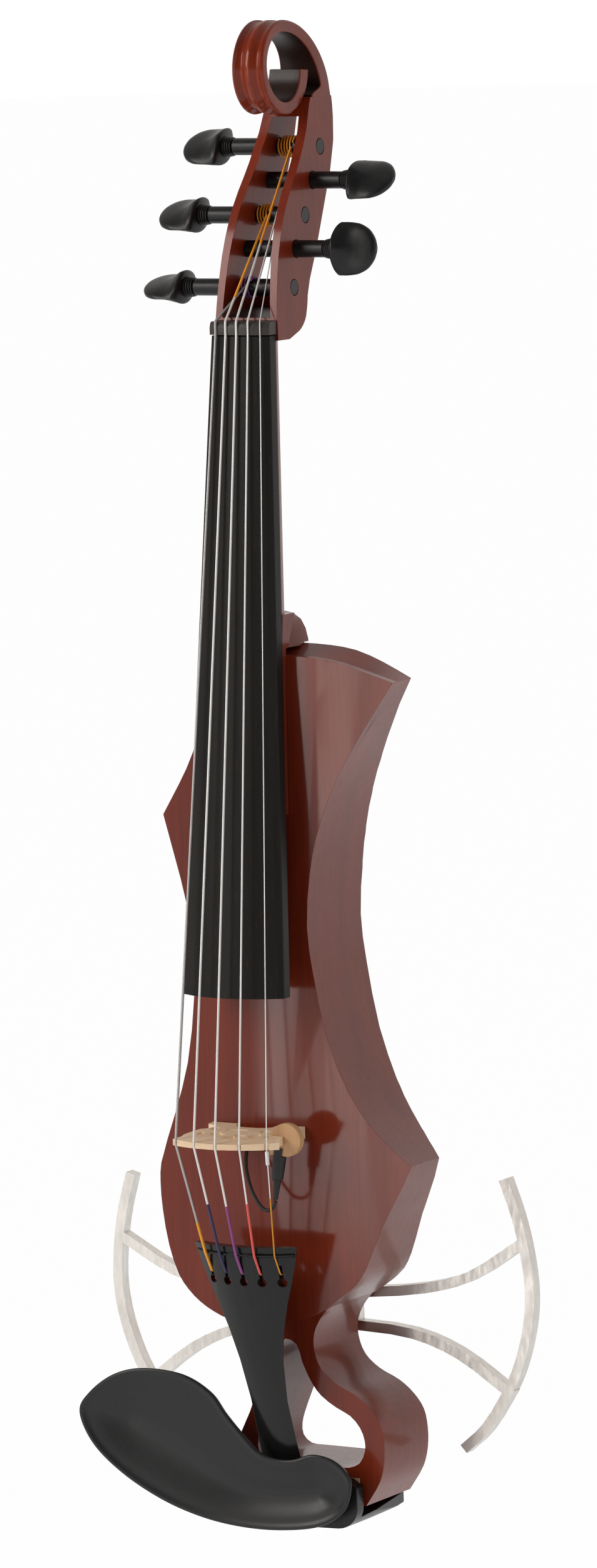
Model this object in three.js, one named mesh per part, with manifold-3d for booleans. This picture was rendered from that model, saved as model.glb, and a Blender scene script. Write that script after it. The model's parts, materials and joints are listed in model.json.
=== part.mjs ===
// Five-string electric violin, as an assembly of named pieces.
// Sizes are in millimetres. In the working frame the front edge of the nut is at height zero, the strings
// face -Y, +Z runs up to the scroll, and +X is the side of the thinnest string. The exported group moves that
// frame so that its origin is the top of the scroll's eye, where the instrument hangs.
import * as THREE from "three";
import { mergeVertices, toCreasedNormals } from "three/addons/utils/BufferGeometryUtils.js";
import Module from "manifold-3d";

const wasm = await Module();
wasm.setup();

// Clearances shared by all pieces
const gap = 0.3;
const overrun = 3;
const turningClearance = 0.3;

// Strings
const strings = {
  soundingLength: 328,
  nutPitch: 5.15,
  bridgePitch: 10.35,
  crownHeight: 36.4,
  crownRadius: 41,
  trebleDropPerStepMm: 0.4,
  slotPitch: 8,
  radii: [0.55, 0.5, 0.48, 0.4, 0.22],
};
const stringIndexes = [0, 1, 2, 3, 4];
const middleString = 2;

// Nut and fingerboard
const nut = { depth: 5.3, crownLift: 0.35, halfWidth: 13.8 };
const board = {
  length: 268.6,
  radius: 42,
  halfWidthAtNut: 13.45,
  halfWidthAtEnd: 23.5,
  cornerDepthAtNut: 3.5,
  cornerRiseAtEnd: 17.2,
  edgeThickness: 5.3,
  hollowRadius: 60,
  hollowDepth: 1.6,
};

// Neck
const neck = {
  top: -3,
  bottom: -130.2,
  backAtTop: 18.6,
  backAtMiddle: 15.6,
  backAtHeel: 13,
  heelTop: -113.6,
  heelHalfWidth: 18.4,
  heelBack: 24,
  heelRound: 2.4,
  rootLength: 65,
  rootHalfWidth: 17.8,
  sideInset: 0.25,
};

// Pegbox and scroll
const pegbox = {
  halfWidthAtNut: 14.4,
  halfWidthAtTopPeg: 11.4,
  halfWidthAtScroll: 7.5,
  topPegHeight: 74,
  cheekThicknessAtNut: 2.9,
  cheekThicknessAtTop: 4,
  floorDepthAtNut: 9.1,
  channelBottom: 6.6,
  channelBackBottom: 10,
  channelTop: 86.6,
  topHeight: 94.4,
};
const scroll = {
  eyeDepth: 34,
  eyeHeight: 107.2,
  outerRadius: 19.2,
  innerRadiusAcross: 15,
  innerRadius: 14.3,
  backCentreHeight: 98,
  backReach: 33.5,
  innerBackCentreRise: 2,
  innerBackReach: 25.8,
  tailOuterReach: 20.3,
  tailInnerReach: 13,
  tailCut: 105.5,
  slotBottom: 94.4,
  stripThickness: 9,
  fluteRadius: 4,
  fluteLift: 2.55,
  flutePitch: 7.3,
  fluteEndCount: 23,
  halfWidthAtTop: 6.5,
  halfWidthAtBottom: 8,
};

// Pegs
const peg = {
  casingRadius: 3.55,
  shaftRadius: 3.5,
  tipRadius: 3.2,
  collarLength: 3.9,
  collarRadius: 4.6,
  headLength: 19.2,
  headHalfWidth: 10.9,
  headHalfThickness: 6.7,
  stubRadius: 1.6,
  stubLength: 3,
};
// Where each peg's axis crosses the pegbox, and where its winding starts
const pegPlaces = {
  a: { depth: 54.6, height: 74, windingStart: 0.8, casingLength: 17 },
  b: { depth: 38.3, height: 46.8, windingStart: -2.2, casingLength: 18.9 },
  c: { depth: 25.3, height: 18, windingStart: -4.7, casingLength: 18.4 },
  d: { depth: 46.6, height: 60.6, windingStart: 2.5, casingLength: 14 },
  e: { depth: 29, height: 33.5, windingStart: 4.5, casingLength: 13.6 },
};
const winding = {
  radius: 0.45,
  pitch: 1.35,
  sides: 6,
  stepsPerTurn: 16,
  leastGap: 0.4,
  endRun: 0.9,
  clearance: 0.15,
};

// Body
const body = {
  top: -130.5,
  length: 276.5,
  reach: 69.5,
  edgeFront: 3,
  plateThickness: 4,
  archHalfSpan: 46,
  crownFall: 2.6,
  back: 48.5,
  bottomBack: 45.5,
  bottomRound: 16,
  flatBackHalfWidth: 22,
  backFall: 20.5,
  backReach: 69,
  neckEndBack: 18.2,
  upperBackHeight: -225,
  shoulderRise: 3.9,
  shoulderDepth: 18,
  seamHeight: -399,
};
const cavity = { top: -252, bottom: -362, halfWidth: 18, floor: 20, rebate: 4, coverThickness: 2.1 };

// Tail loop: the two arms and the tail block below the body
const tail = { length: 86, reach: 52, front: 7.3, back: 46, backRise: 2.7 };

// Bridge and pickup
const bridge = {
  footAhead: 4.3,
  footBehind: 0.7,
  thicknessAtCrown: 2.1,
  footHalfSpan: 21.5,
  crownSpanBass: 22.4,
  crownSpanTreble: 25.2,
  archHalfWidth: 9.3,
  archHeight: 5.2,
  footHeight: 2.4,
  waistHalfWidth: 16.4,
  grooveClearance: 0.15,
};
const pickup = {
  radius: 6.9,
  thickness: 3.4,
  offsetX: 22,
  depth: 15,
  height: -326.8,
  tabReach: 7.6,
  tabDrop: 6.4,
  sleeveShift: 3.7,
  sleeveLean: 2.5,
  sleeveRadius: 3,
  sleeveStepRadius: 2.4,
  sleeveTipRadius: 1.6,
  sleeveEndRadius: 0.95,
  sleeveLength: 9.8,
  sleeveTipLength: 8.4,
  leadRadius: 0.75,
  holeRadius: 1.4,
};

// Tailpiece and what holds it
const tailpiece = {
  topHeight: -371,
  length: 97,
  halfWidth: 23.8,
  topDepth: -23.6,
  endDepth: -0.6,
  topShift: 1.8,
  endShift: 7,
  archRadius: 41,
  endArchRadius: 22,
  thickness: 4,
  fretOffset: 3.4,
  fretRise: 1.1,
  fretWidth: 1.6,
  keyholeOffset: 15.4,
  keyholeRadius: 1.9,
  slotHalfWidth: 0.75,
  slotLength: 7.4,
};
const gut = { radius: 0.85, strandSpacing: 7.4 };
const saddle = { halfLength: 9, height: 5, depth: 6, rise: 1.6 };
const endButton = {
  headRadius: 6.2,
  headLength: 5,
  neckRadius: 2.9,
  neckLength: 3.4,
  shankLength: 14,
  depth: 25,
};

// Chin rest and its clamp
const chinRest = {
  width: 123,
  height: 65,
  left: -79.8,
  top: -426,
  frontAtCentre: -10,
  tiltDegrees: 4.3,
  thickness: 6.4,
  edgeRound: 0.6,
  backInset: 3.6,
  dishRadius: 120,
  dishDepth: 3.4,
  dishCentreShiftX: -30,
};
const strap = {
  left: 17,
  right: 42,
  rightAtBack: 38.4,
  legTop: -469.5,
  webThickness: 4.4,
  webThicknessAtBack: 4.4,
  cornerRadius: 9,
  cork: 1,
  webEndDepth: 47.5,
};
const jaw = { thickness: 3.4, wedge: 3.6, top: -471, cork: 0.9, travel: 4 };
const clampScrew = { radius: 1, headRadius: 3, headLength: 2.2, shankLength: 15, pitch: 1, slotWidth: 0.9 };

// Metal shoulder frame
const frame = {
  front: 50,
  depth: 5.6,
  barWidth: 4.2,
  reach: 100,
  height: 113,
  top: -353,
  shiftX: 0.75,
  hubTop: -399.5,
  hubBottom: -416.5,
  hubHalfWidth: 16.8,
  padHalfWidth: 14,
  turnDegrees: 2.2,
  screwRadius: 1.6,
  screwHeadRadius: 3.1,
  screwHeadLength: 1.8,
  screwLength: 22,
  screwSpacing: 22,
  screwShift: 2,
};

// Electronics behind the back cover
const pot = { radius: 7.6, length: 8, bushRadius: 3.2, offset: 8.8, height: -270 };
const knob = { radius: 7.2, length: 8.5, topRadius: 6.2, pointerWidth: 1.2, pointerDepth: 0.7 };
const board9v = {
  width: 26.5,
  length: 48.5,
  thickness: 17.5,
  top: -306,
  terminalRadius: 2.8,
  terminalLength: 2.4,
};
const circuit = { width: 33, length: 38, thickness: 1.6, top: -256 };
const jack = {
  height: -351,
  depth: 29,
  flangeRadius: 9.4,
  flangeThickness: 1.6,
  barrelRadius: 6.4,
  barrelLength: 27,
  boreRadius: 3.25,
  boreLength: 22,
  wall: -48.2,
};
const coverScrew = { radius: 0.9, headRadius: 1.8, headLength: 1.2, length: 9 };

// Solids
// A closed three.js geometry becomes a solid once its corners are merged.
function solid(geometry) {
  const bare = geometry.clone();
  bare.deleteAttribute("normal");
  bare.deleteAttribute("uv");
  const merged = mergeVertices(bare, 1e-4);
  return new wasm.Manifold(
    new wasm.Mesh({
      numProp: 3,
      vertProperties: merged.attributes.position.array,
      triVerts: new Uint32Array(merged.index.array),
    }),
  );
}

function geometryOf(made) {
  const mesh = made.getMesh();
  const geometry = new THREE.BufferGeometry();
  geometry.setAttribute("position", new THREE.BufferAttribute(mesh.vertProperties, 3));
  geometry.setIndex(new THREE.BufferAttribute(mesh.triVerts, 1));
  return geometry;
}

const cut = (from, ...tools) => tools.reduce((rest, tool) => rest.subtract(tool), from);
const join = (first, ...others) => others.reduce((sum, other) => sum.add(other), first);
const common = (first, ...others) => others.reduce((sum, other) => sum.intersect(other), first);

// Finishes
const finish = (color, roughness, metalness = 0) =>
  new THREE.MeshStandardMaterial({ color, roughness, metalness });
const finishes = {
  lacqueredWood: finish(0x6b2a1c, 0.28),
  ebony: finish(0x2a2422, 0.5),
  maple: finish(0xd9b184, 0.62),
  discWood: finish(0xd2a26c, 0.6),
  blackPlastic: finish(0x1c1c1d, 0.45),
  satinBlack: finish(0x232324, 0.55),
  rubberSleeve: finish(0x161616, 0.7),
  steel: finish(0xb9b0a2, 0.3, 1),
  stringSteel: finish(0xc9c9c6, 0.3, 1),
  whitePlastic: finish(0xe9e9ea, 0.4),
  cork: finish(0xb98a58, 0.9),
  orangeSilk: finish(0xe07a12, 0.7),
  violetSilk: finish(0x7a3a9a, 0.7),
  circuitGreen: finish(0x1f5a34, 0.6),
  nickel: finish(0xc4c2bd, 0.25, 1),
};

const violin = new THREE.Group();
function piece(name, made, material) {
  const geometry = toCreasedNormals(geometryOf(made), Math.PI / 5);
  const mesh = new THREE.Mesh(geometry, material);
  mesh.name = name;
  violin.add(mesh);
  return mesh;
}

// Outlines and prisms
// Rows are [x, y] or [x, y, "corner"]; the line runs smoothly from corner to corner.
function smoothLoop(rows, stepsPerSpan = 3) {
  const corners = rows.map((row, i) => (row[2] === "corner" ? i : -1)).filter((i) => i >= 0);
  const at = (i) => new THREE.Vector3(rows[i % rows.length][0], rows[i % rows.length][1], 0);
  if (!corners.length) {
    const curve = new THREE.CatmullRomCurve3(rows.map((_, i) => at(i)), true, "centripetal");
    return curve.getPoints(rows.length * stepsPerSpan).slice(0, -1).map((p) => new THREE.Vector2(p.x, p.y));
  }
  const points = [];
  corners.forEach((start, c) => {
    const next = corners[(c + 1) % corners.length];
    const end = next > start ? next : next + rows.length;
    const run = [];
    for (let i = start; i <= end; i++) run.push(at(i));
    const steps = (run.length - 1) * stepsPerSpan;
    const sampled =
      run.length === 2 ? run : new THREE.CatmullRomCurve3(run, false, "centripetal").getPoints(steps);
    sampled.slice(0, -1).forEach((p) => points.push(new THREE.Vector2(p.x, p.y)));
  });
  return points;
}

function extruded(outline, depth, holes = []) {
  const turned = THREE.ShapeUtils.isClockWise(outline) ? [...outline].reverse() : outline;
  const shape = new THREE.Shape(turned);
  holes.forEach((hole) => shape.holes.push(new THREE.Path(hole)));
  return new THREE.ExtrudeGeometry(shape, { depth, steps: 1, bevelEnabled: false, curveSegments: 8 });
}

// An outline drawn as seen from the front, in X and Z, from one depth in Y to another
function frontPrism(outline, front, back, holes = []) {
  const geometry = extruded(outline, back - front, holes);
  return solid(geometry.rotateX(Math.PI / 2).translate(0, back, 0));
}

// An outline drawn as seen from the side, in Y and Z, from one X to another
const sideTurn = new THREE.Matrix4().makeBasis(
  new THREE.Vector3(0, 1, 0),
  new THREE.Vector3(0, 0, 1),
  new THREE.Vector3(1, 0, 0),
);
function sidePrism(outline, left, right) {
  const geometry = extruded(outline, right - left).applyMatrix4(sideTurn);
  return solid(geometry.translate(left, 0, 0));
}

// An outline drawn as seen from above, in X and Y, from one Z to another
function topPrism(outline, bottom, top, holes = []) {
  return solid(extruded(outline, top - bottom, holes).translate(0, 0, bottom));
}

function block(left, right, front, back, bottom, top) {
  const geometry = new THREE.BoxGeometry(right - left, back - front, top - bottom);
  return solid(geometry.translate((left + right) / 2, (front + back) / 2, (bottom + top) / 2));
}

// A round bar along X, Y or Z, with a radius at each end
function bar(axis, from, to, radiusFrom, radiusTo = radiusFrom, sides = 20) {
  const along = to[axis] - from[axis];
  const geometry = new THREE.CylinderGeometry(radiusTo, radiusFrom, along, sides);
  if (axis === "x") geometry.rotateZ(-Math.PI / 2);
  if (axis === "z") geometry.rotateX(Math.PI / 2);
  const middle = new THREE.Vector3(from.x, from.y, from.z);
  middle[axis] += along / 2;
  return solid(geometry.translate(middle.x, middle.y, middle.z));
}
const point = (x, y, z) => new THREE.Vector3(x, y, z);

// Closes one end of a loft with triangles between the points of its ring
function closeEnd(index, ring, offset, first) {
  const u = ring[Math.floor(ring.length / 4)].clone().sub(ring[0]).normalize();
  const other = ring[Math.floor(ring.length / 2)].clone().sub(ring[0]);
  const v = other.sub(u.clone().multiplyScalar(other.dot(u))).normalize();
  // A trace of bow keeps points on a straight run apart for the triangulation
  const bow = (i) => 1e-7 * ring[0].distanceTo(ring[Math.floor(ring.length / 2)]) * Math.sin(i * 1.7);
  const flat = ring.map((p, i) => new THREE.Vector2(p.dot(u) + bow(i), p.dot(v) + bow(i + 1)));
  const turning = Math.sign(THREE.ShapeUtils.area(flat));
  THREE.ShapeUtils.triangulateShape([...flat], []).forEach(([a, b, c]) => {
    const same = Math.sign(THREE.ShapeUtils.area([flat[a], flat[b], flat[c]])) === turning;
    const [p, q] = same === first ? [c, b] : [b, c];
    index.push(offset + a, offset + p, offset + q);
  });
}

// A surface through rings of points, closed at both ends
function loft(rings) {
  const count = rings[0].length;
  const positions = [];
  rings.forEach((ring) => ring.forEach((p) => positions.push(p.x, p.y, p.z)));
  const index = [];
  for (let r = 0; r + 1 < rings.length; r++) {
    for (let i = 0; i < count; i++) {
      const a = r * count + i;
      const b = r * count + ((i + 1) % count);
      index.push(a, b, a + count, b, b + count, a + count);
    }
  }
  closeEnd(index, rings[0], 0, true);
  closeEnd(index, rings[rings.length - 1], (rings.length - 1) * count, false);
  const geometry = new THREE.BufferGeometry();
  geometry.setAttribute("position", new THREE.Float32BufferAttribute(positions, 3));
  geometry.setIndex(index);
  const made = solid(geometry);
  return made.volume() > 0 ? made : solid(flipped(geometry));
}
function flipped(geometry) {
  const index = [...geometry.index.array];
  for (let i = 0; i < index.length; i += 3) [index[i + 1], index[i + 2]] = [index[i + 2], index[i + 1]];
  return geometry.clone().setIndex(index);
}

// A tube through a list of points, mitred at each bend. Its frame turns as little as it can.
function tubeRings(points, radius, sides) {
  const tangents = points.map((p, i) => {
    const before = i > 0 ? p.clone().sub(points[i - 1]).normalize() : new THREE.Vector3();
    const after = i + 1 < points.length ? points[i + 1].clone().sub(p).normalize() : new THREE.Vector3();
    return before.add(after).normalize();
  });
  const start = Math.abs(tangents[0].x) < 0.9 ? point(1, 0, 0) : point(0, 1, 0);
  let normal = start.sub(tangents[0].clone().multiplyScalar(start.dot(tangents[0]))).normalize();
  return points.map((p, i) => {
    normal = normal.clone().sub(tangents[i].clone().multiplyScalar(normal.dot(tangents[i]))).normalize();
    const side = tangents[i].clone().cross(normal);
    const leg = i > 0 ? p.clone().sub(points[i - 1]).normalize() : tangents[i];
    const stretch = 1 / Math.max(leg.dot(tangents[i]), 0.7);
    const bend = leg.clone().sub(tangents[i].clone().multiplyScalar(leg.dot(tangents[i])));
    const across = bend.length() > 1e-6 ? bend.normalize() : null;
    return Array.from({ length: sides }, (_, k) => {
      const angle = (2 * Math.PI * (k + 0.5)) / sides;
      const ray = normal.clone().multiplyScalar(radius * Math.cos(angle));
      ray.add(side.clone().multiplyScalar(radius * Math.sin(angle)));
      if (across) ray.add(across.clone().multiplyScalar(ray.dot(across) * (stretch - 1)));
      return p.clone().add(ray);
    });
  });
}
const tube = (points, radius, sides = 6) => loft(tubeRings(points, radius, sides));

// Shared lines
const stringX = (i, pitch) => (i - middleString) * pitch;
const nutPoint = (i) => {
  const x = stringX(i, strings.nutPitch);
  return point(x, (x * x) / (2 * board.radius), 0);
};
const bridgeDepthAt = (x) =>
  (x * x) / (2 * strings.crownRadius) +
  (strings.trebleDropPerStepMm * x) / strings.bridgePitch -
  strings.crownHeight;
const bridgePoint = (i) => {
  const x = stringX(i, strings.bridgePitch);
  return point(x, bridgeDepthAt(x), -strings.soundingLength);
};
const boardShare = (z) => -z / board.length;
const boardHalfWidth = (z) => THREE.MathUtils.lerp(
  board.halfWidthAtNut,
  board.halfWidthAtEnd,
  boardShare(z),
);
const boardCorner = (z) => THREE.MathUtils.lerp(
  board.cornerDepthAtNut,
  -board.cornerRiseAtEnd,
  boardShare(z),
);
const boardUnderside = (z) => boardCorner(z) + board.edgeThickness;

// Points of a shallow arc that rises towards -Y between two corners
function archPoints(halfWidth, cornerY, radius, z, shiftX = 0, steps = 8) {
  const drop = (x) => radius - Math.sqrt(radius * radius - x * x);
  const points = [];
  for (let i = 0; i <= steps; i++) {
    const x = halfWidth * (-1 + (2 * i) / steps);
    points.push(point(shiftX + x, cornerY - drop(halfWidth) + drop(x), z));
  }
  return points;
}

// Fingerboard and nut
function makeFingerboard() {
  const ring = (z) => {
    const halfWidth = boardHalfWidth(z);
    const corner = boardCorner(z);
    const top = archPoints(halfWidth, corner, board.radius, z);
    return [
      ...top,
      point(halfWidth, corner + board.edgeThickness, z),
      point(-halfWidth, corner + board.edgeThickness, z),
    ];
  };
  const made = loft([ring(-gap), ring(-board.length)]);
  // The free end is hollowed underneath, as an ebony fingerboard is
  const rootEnd = neck.bottom - neck.rootLength;
  const hollowAt = (z) => boardUnderside(z) + board.hollowRadius - board.hollowDepth;
  const from = point(0, hollowAt(rootEnd), rootEnd);
  const to = point(0, hollowAt(-board.length), -board.length - overrun);
  const hollow = loft(
    [from, to].map((centre) =>
      Array.from({ length: 48 }, (_, k) => {
        const angle = (2 * Math.PI * k) / 48;
        return point(
          board.hollowRadius * Math.cos(angle),
          centre.y + board.hollowRadius * Math.sin(angle),
          centre.z,
        );
      }),
    ),
  );
  piece("fingerboard", cut(made, hollow), finishes.ebony);
}

function makeNut() {
  const corner = (nut.halfWidth * nut.halfWidth) / (2 * board.radius) + nut.crownLift;
  const seat = pegbox.floorDepthAtNut - gap;
  const ring = (z, fall) => {
    const top = archPoints(nut.halfWidth, corner + fall, board.radius, z);
    return [...top, point(nut.halfWidth, seat, z), point(-nut.halfWidth, seat, z)];
  };
  const roundStart = nut.depth * 0.55;
  const made = loft([
    ring(0, 0),
    ring(roundStart, 0),
    ring(nut.depth * 0.85, nut.depth / 10),
    ring(nut.depth, nut.depth / 4),
  ]);
  const grooves = stringIndexes.map((i) => {
    const start = nutPoint(i);
    const end = start.clone().setZ(nut.depth);
    const run = [start.clone().setZ(-overrun), end.clone().setZ(nut.depth + overrun)];
    return tube(run, strings.radii[i] + bridge.grooveClearance, 8);
  });
  piece("nut", cut(made, ...grooves), finishes.ebony);
}

// Neck
function neckRing(z, backDepth) {
  const halfWidth = boardHalfWidth(z) - neck.sideInset;
  const front = boardUnderside(z) + gap;
  const depth = backDepth - front;
  const arcSteps = 12;
  const ring = [];
  for (let i = 0; i <= arcSteps; i++) {
    const angle = (Math.PI * i) / arcSteps;
    ring.push(point(halfWidth * Math.cos(angle), front + depth * Math.sin(angle), z));
  }
  return ring;
}

// The space of the leaning shoulder behind the heel, with its clearance
function neckPocket() {
  const back = body.edgeFront + body.plateThickness;
  const end = neck.heelBack + overrun;
  const slope = body.shoulderRise / (body.shoulderDepth - back);
  const line = [
    new THREE.Vector2(back, neck.bottom - overrun),
    new THREE.Vector2(back, neck.bottom),
    new THREE.Vector2(body.shoulderDepth, neck.bottom + slope * (body.shoulderDepth - back)),
    new THREE.Vector2(end, neck.bottom + body.shoulderRise),
    new THREE.Vector2(end, neck.bottom - overrun),
  ];
  return sidePrism(line, -body.reach, body.reach);
}

// Half of the heel's rounded outline, as shares of its half width and of its height
const heelShares = [
  [0, 1],
  [0.34, 0.985],
  [0.6, 0.93],
  [0.8, 0.78],
  [0.91, 0.56],
  [0.97, 0.3],
  [1, 0],
];

function makeNeck() {
  const middle = (neck.top + neck.bottom) / 2;
  const levels = [
    [neck.top, neck.backAtTop],
    [middle, neck.backAtMiddle],
    [neck.heelTop, neck.backAtHeel],
    [neck.bottom, neck.backAtHeel],
  ];
  const shaft = cut(loft(levels.map(([z, back]) => neckRing(z, back))), neckPocket());
  // The heel swells out behind the neck in a rounded button
  const heelHeight = neck.heelTop - neck.bottom;
  const heelRing = (y, inset) => {
    const half = heelShares.map(([across, up]) =>
      point((neck.heelHalfWidth - inset) * across, y, neck.bottom + (heelHeight - inset) * up),
    );
    return [...half, ...half.slice(1).map((p) => point(-p.x, p.y, p.z)).reverse()];
  };
  const heel = loft([
    heelRing(boardUnderside(neck.heelTop) + gap, neck.heelRound),
    heelRing(neck.backAtHeel, 0),
    heelRing(neck.heelBack - neck.heelRound, 0),
    heelRing(neck.heelBack, neck.heelRound),
  ]);
  // The root runs on under the fingerboard, over the top plate
  const rootEnd = neck.bottom - neck.rootLength;
  const outline = [
    new THREE.Vector2(boardUnderside(neck.heelTop) + gap, neck.heelTop),
    new THREE.Vector2(boardUnderside(rootEnd) + gap, rootEnd),
    new THREE.Vector2(body.edgeFront, rootEnd),
    new THREE.Vector2(body.edgeFront, body.top + gap),
    new THREE.Vector2(neck.backAtHeel - neck.heelRound, neck.heelTop),
  ];
  const root = sidePrism(outline, -neck.rootHalfWidth, neck.rootHalfWidth);
  piece(
    "neck",
    join(shaft, cut(join(heel, root), archedBlock(neck.heelBack, gap), neckPocket())),
    finishes.lacqueredWood,
  );
}

// Pegbox and scroll
const pegboxHalfWidth = (z) => {
  const low = THREE.MathUtils.lerp(
    pegbox.halfWidthAtNut,
    pegbox.halfWidthAtTopPeg,
    z / pegbox.topPegHeight,
  );
  if (z <= pegbox.topPegHeight) return low;
  const top = scroll.eyeHeight + scroll.outerRadius;
  const share = (z - pegbox.topPegHeight) / (top - pegbox.topPegHeight);
  return THREE.MathUtils.lerp(pegbox.halfWidthAtTopPeg, pegbox.halfWidthAtScroll, Math.min(share, 1));
};

const cheekThickness = (z) =>
  THREE.MathUtils.lerp(pegbox.cheekThicknessAtNut, pegbox.cheekThicknessAtTop, z / pegbox.topPegHeight);
const pegboxInner = (z) => pegboxHalfWidth(z) - cheekThickness(z);

// Side lines of the pegbox as [depth, height], in shares of the pegbox's reach and height
const pegboxReach = 68;
const cheekFrontShares = [
  [0.126, 0.059],
  [0.141, 0.148],
  [0.166, 0.24],
  [0.2, 0.339],
  [0.256, 0.445],
  [0.318, 0.53],
  [0.401, 0.614],
  [0.494, 0.694],
  [0.581, 0.784],
  [0.654, 0.869],
  [0.706, 0.964],
  [0.735, 1],
];
const cheekBackShares = [
  [0.998, 1],
  [1, 0.93],
  [0.96, 0.763],
  [0.779, 0.488],
  [0.654, 0.318],
  [0.54, 0.17],
  [0.518, 0.09],
  [0.455, 0.015],
];

function ellipseRun(reachY, reachZ, centreZ, fromDegrees, toDegrees, steps) {
  return Array.from({ length: steps + 1 }, (_, i) => {
    const angle = THREE.MathUtils.degToRad(THREE.MathUtils.lerp(fromDegrees, toDegrees, i / steps));
    return new THREE.Vector2(
      scroll.eyeDepth + reachY * Math.cos(angle),
      centreZ + reachZ * Math.sin(angle),
    );
  });
}

// The scroll's outer line, from the back of the strip over the top and round to the tail's cut end
function scrollOuterLine() {
  const top = scroll.eyeHeight + scroll.outerRadius;
  const tailEnd = THREE.MathUtils.radToDeg(
    Math.asin((scroll.tailCut - scroll.eyeHeight) / scroll.outerRadius),
  );
  return [
    ...ellipseRun(scroll.backReach, top - scroll.backCentreHeight, scroll.backCentreHeight, 0, 90, 9),
    ...ellipseRun(scroll.outerRadius, scroll.outerRadius, scroll.eyeHeight, 100, 270, 17),
    ...ellipseRun(scroll.tailOuterReach, scroll.outerRadius, scroll.eyeHeight, 280, 360 + tailEnd, 7),
  ];
}
function scrollInnerLine() {
  const innerBackCentre = scroll.backCentreHeight + scroll.innerBackCentreRise;
  const top = scroll.eyeHeight + scroll.innerRadius;
  const tailEnd = THREE.MathUtils.radToDeg(
    Math.asin((scroll.tailCut - scroll.eyeHeight) / scroll.innerRadius),
  );
  return [
    ...ellipseRun(scroll.tailInnerReach, scroll.innerRadius, scroll.eyeHeight, 360 + tailEnd, 280, 6),
    ...ellipseRun(scroll.innerRadiusAcross, scroll.innerRadius, scroll.eyeHeight, 270, 100, 14),
    ...ellipseRun(scroll.innerBackReach, top - innerBackCentre, innerBackCentre, 90, 0, 8),
  ];
}

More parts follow.
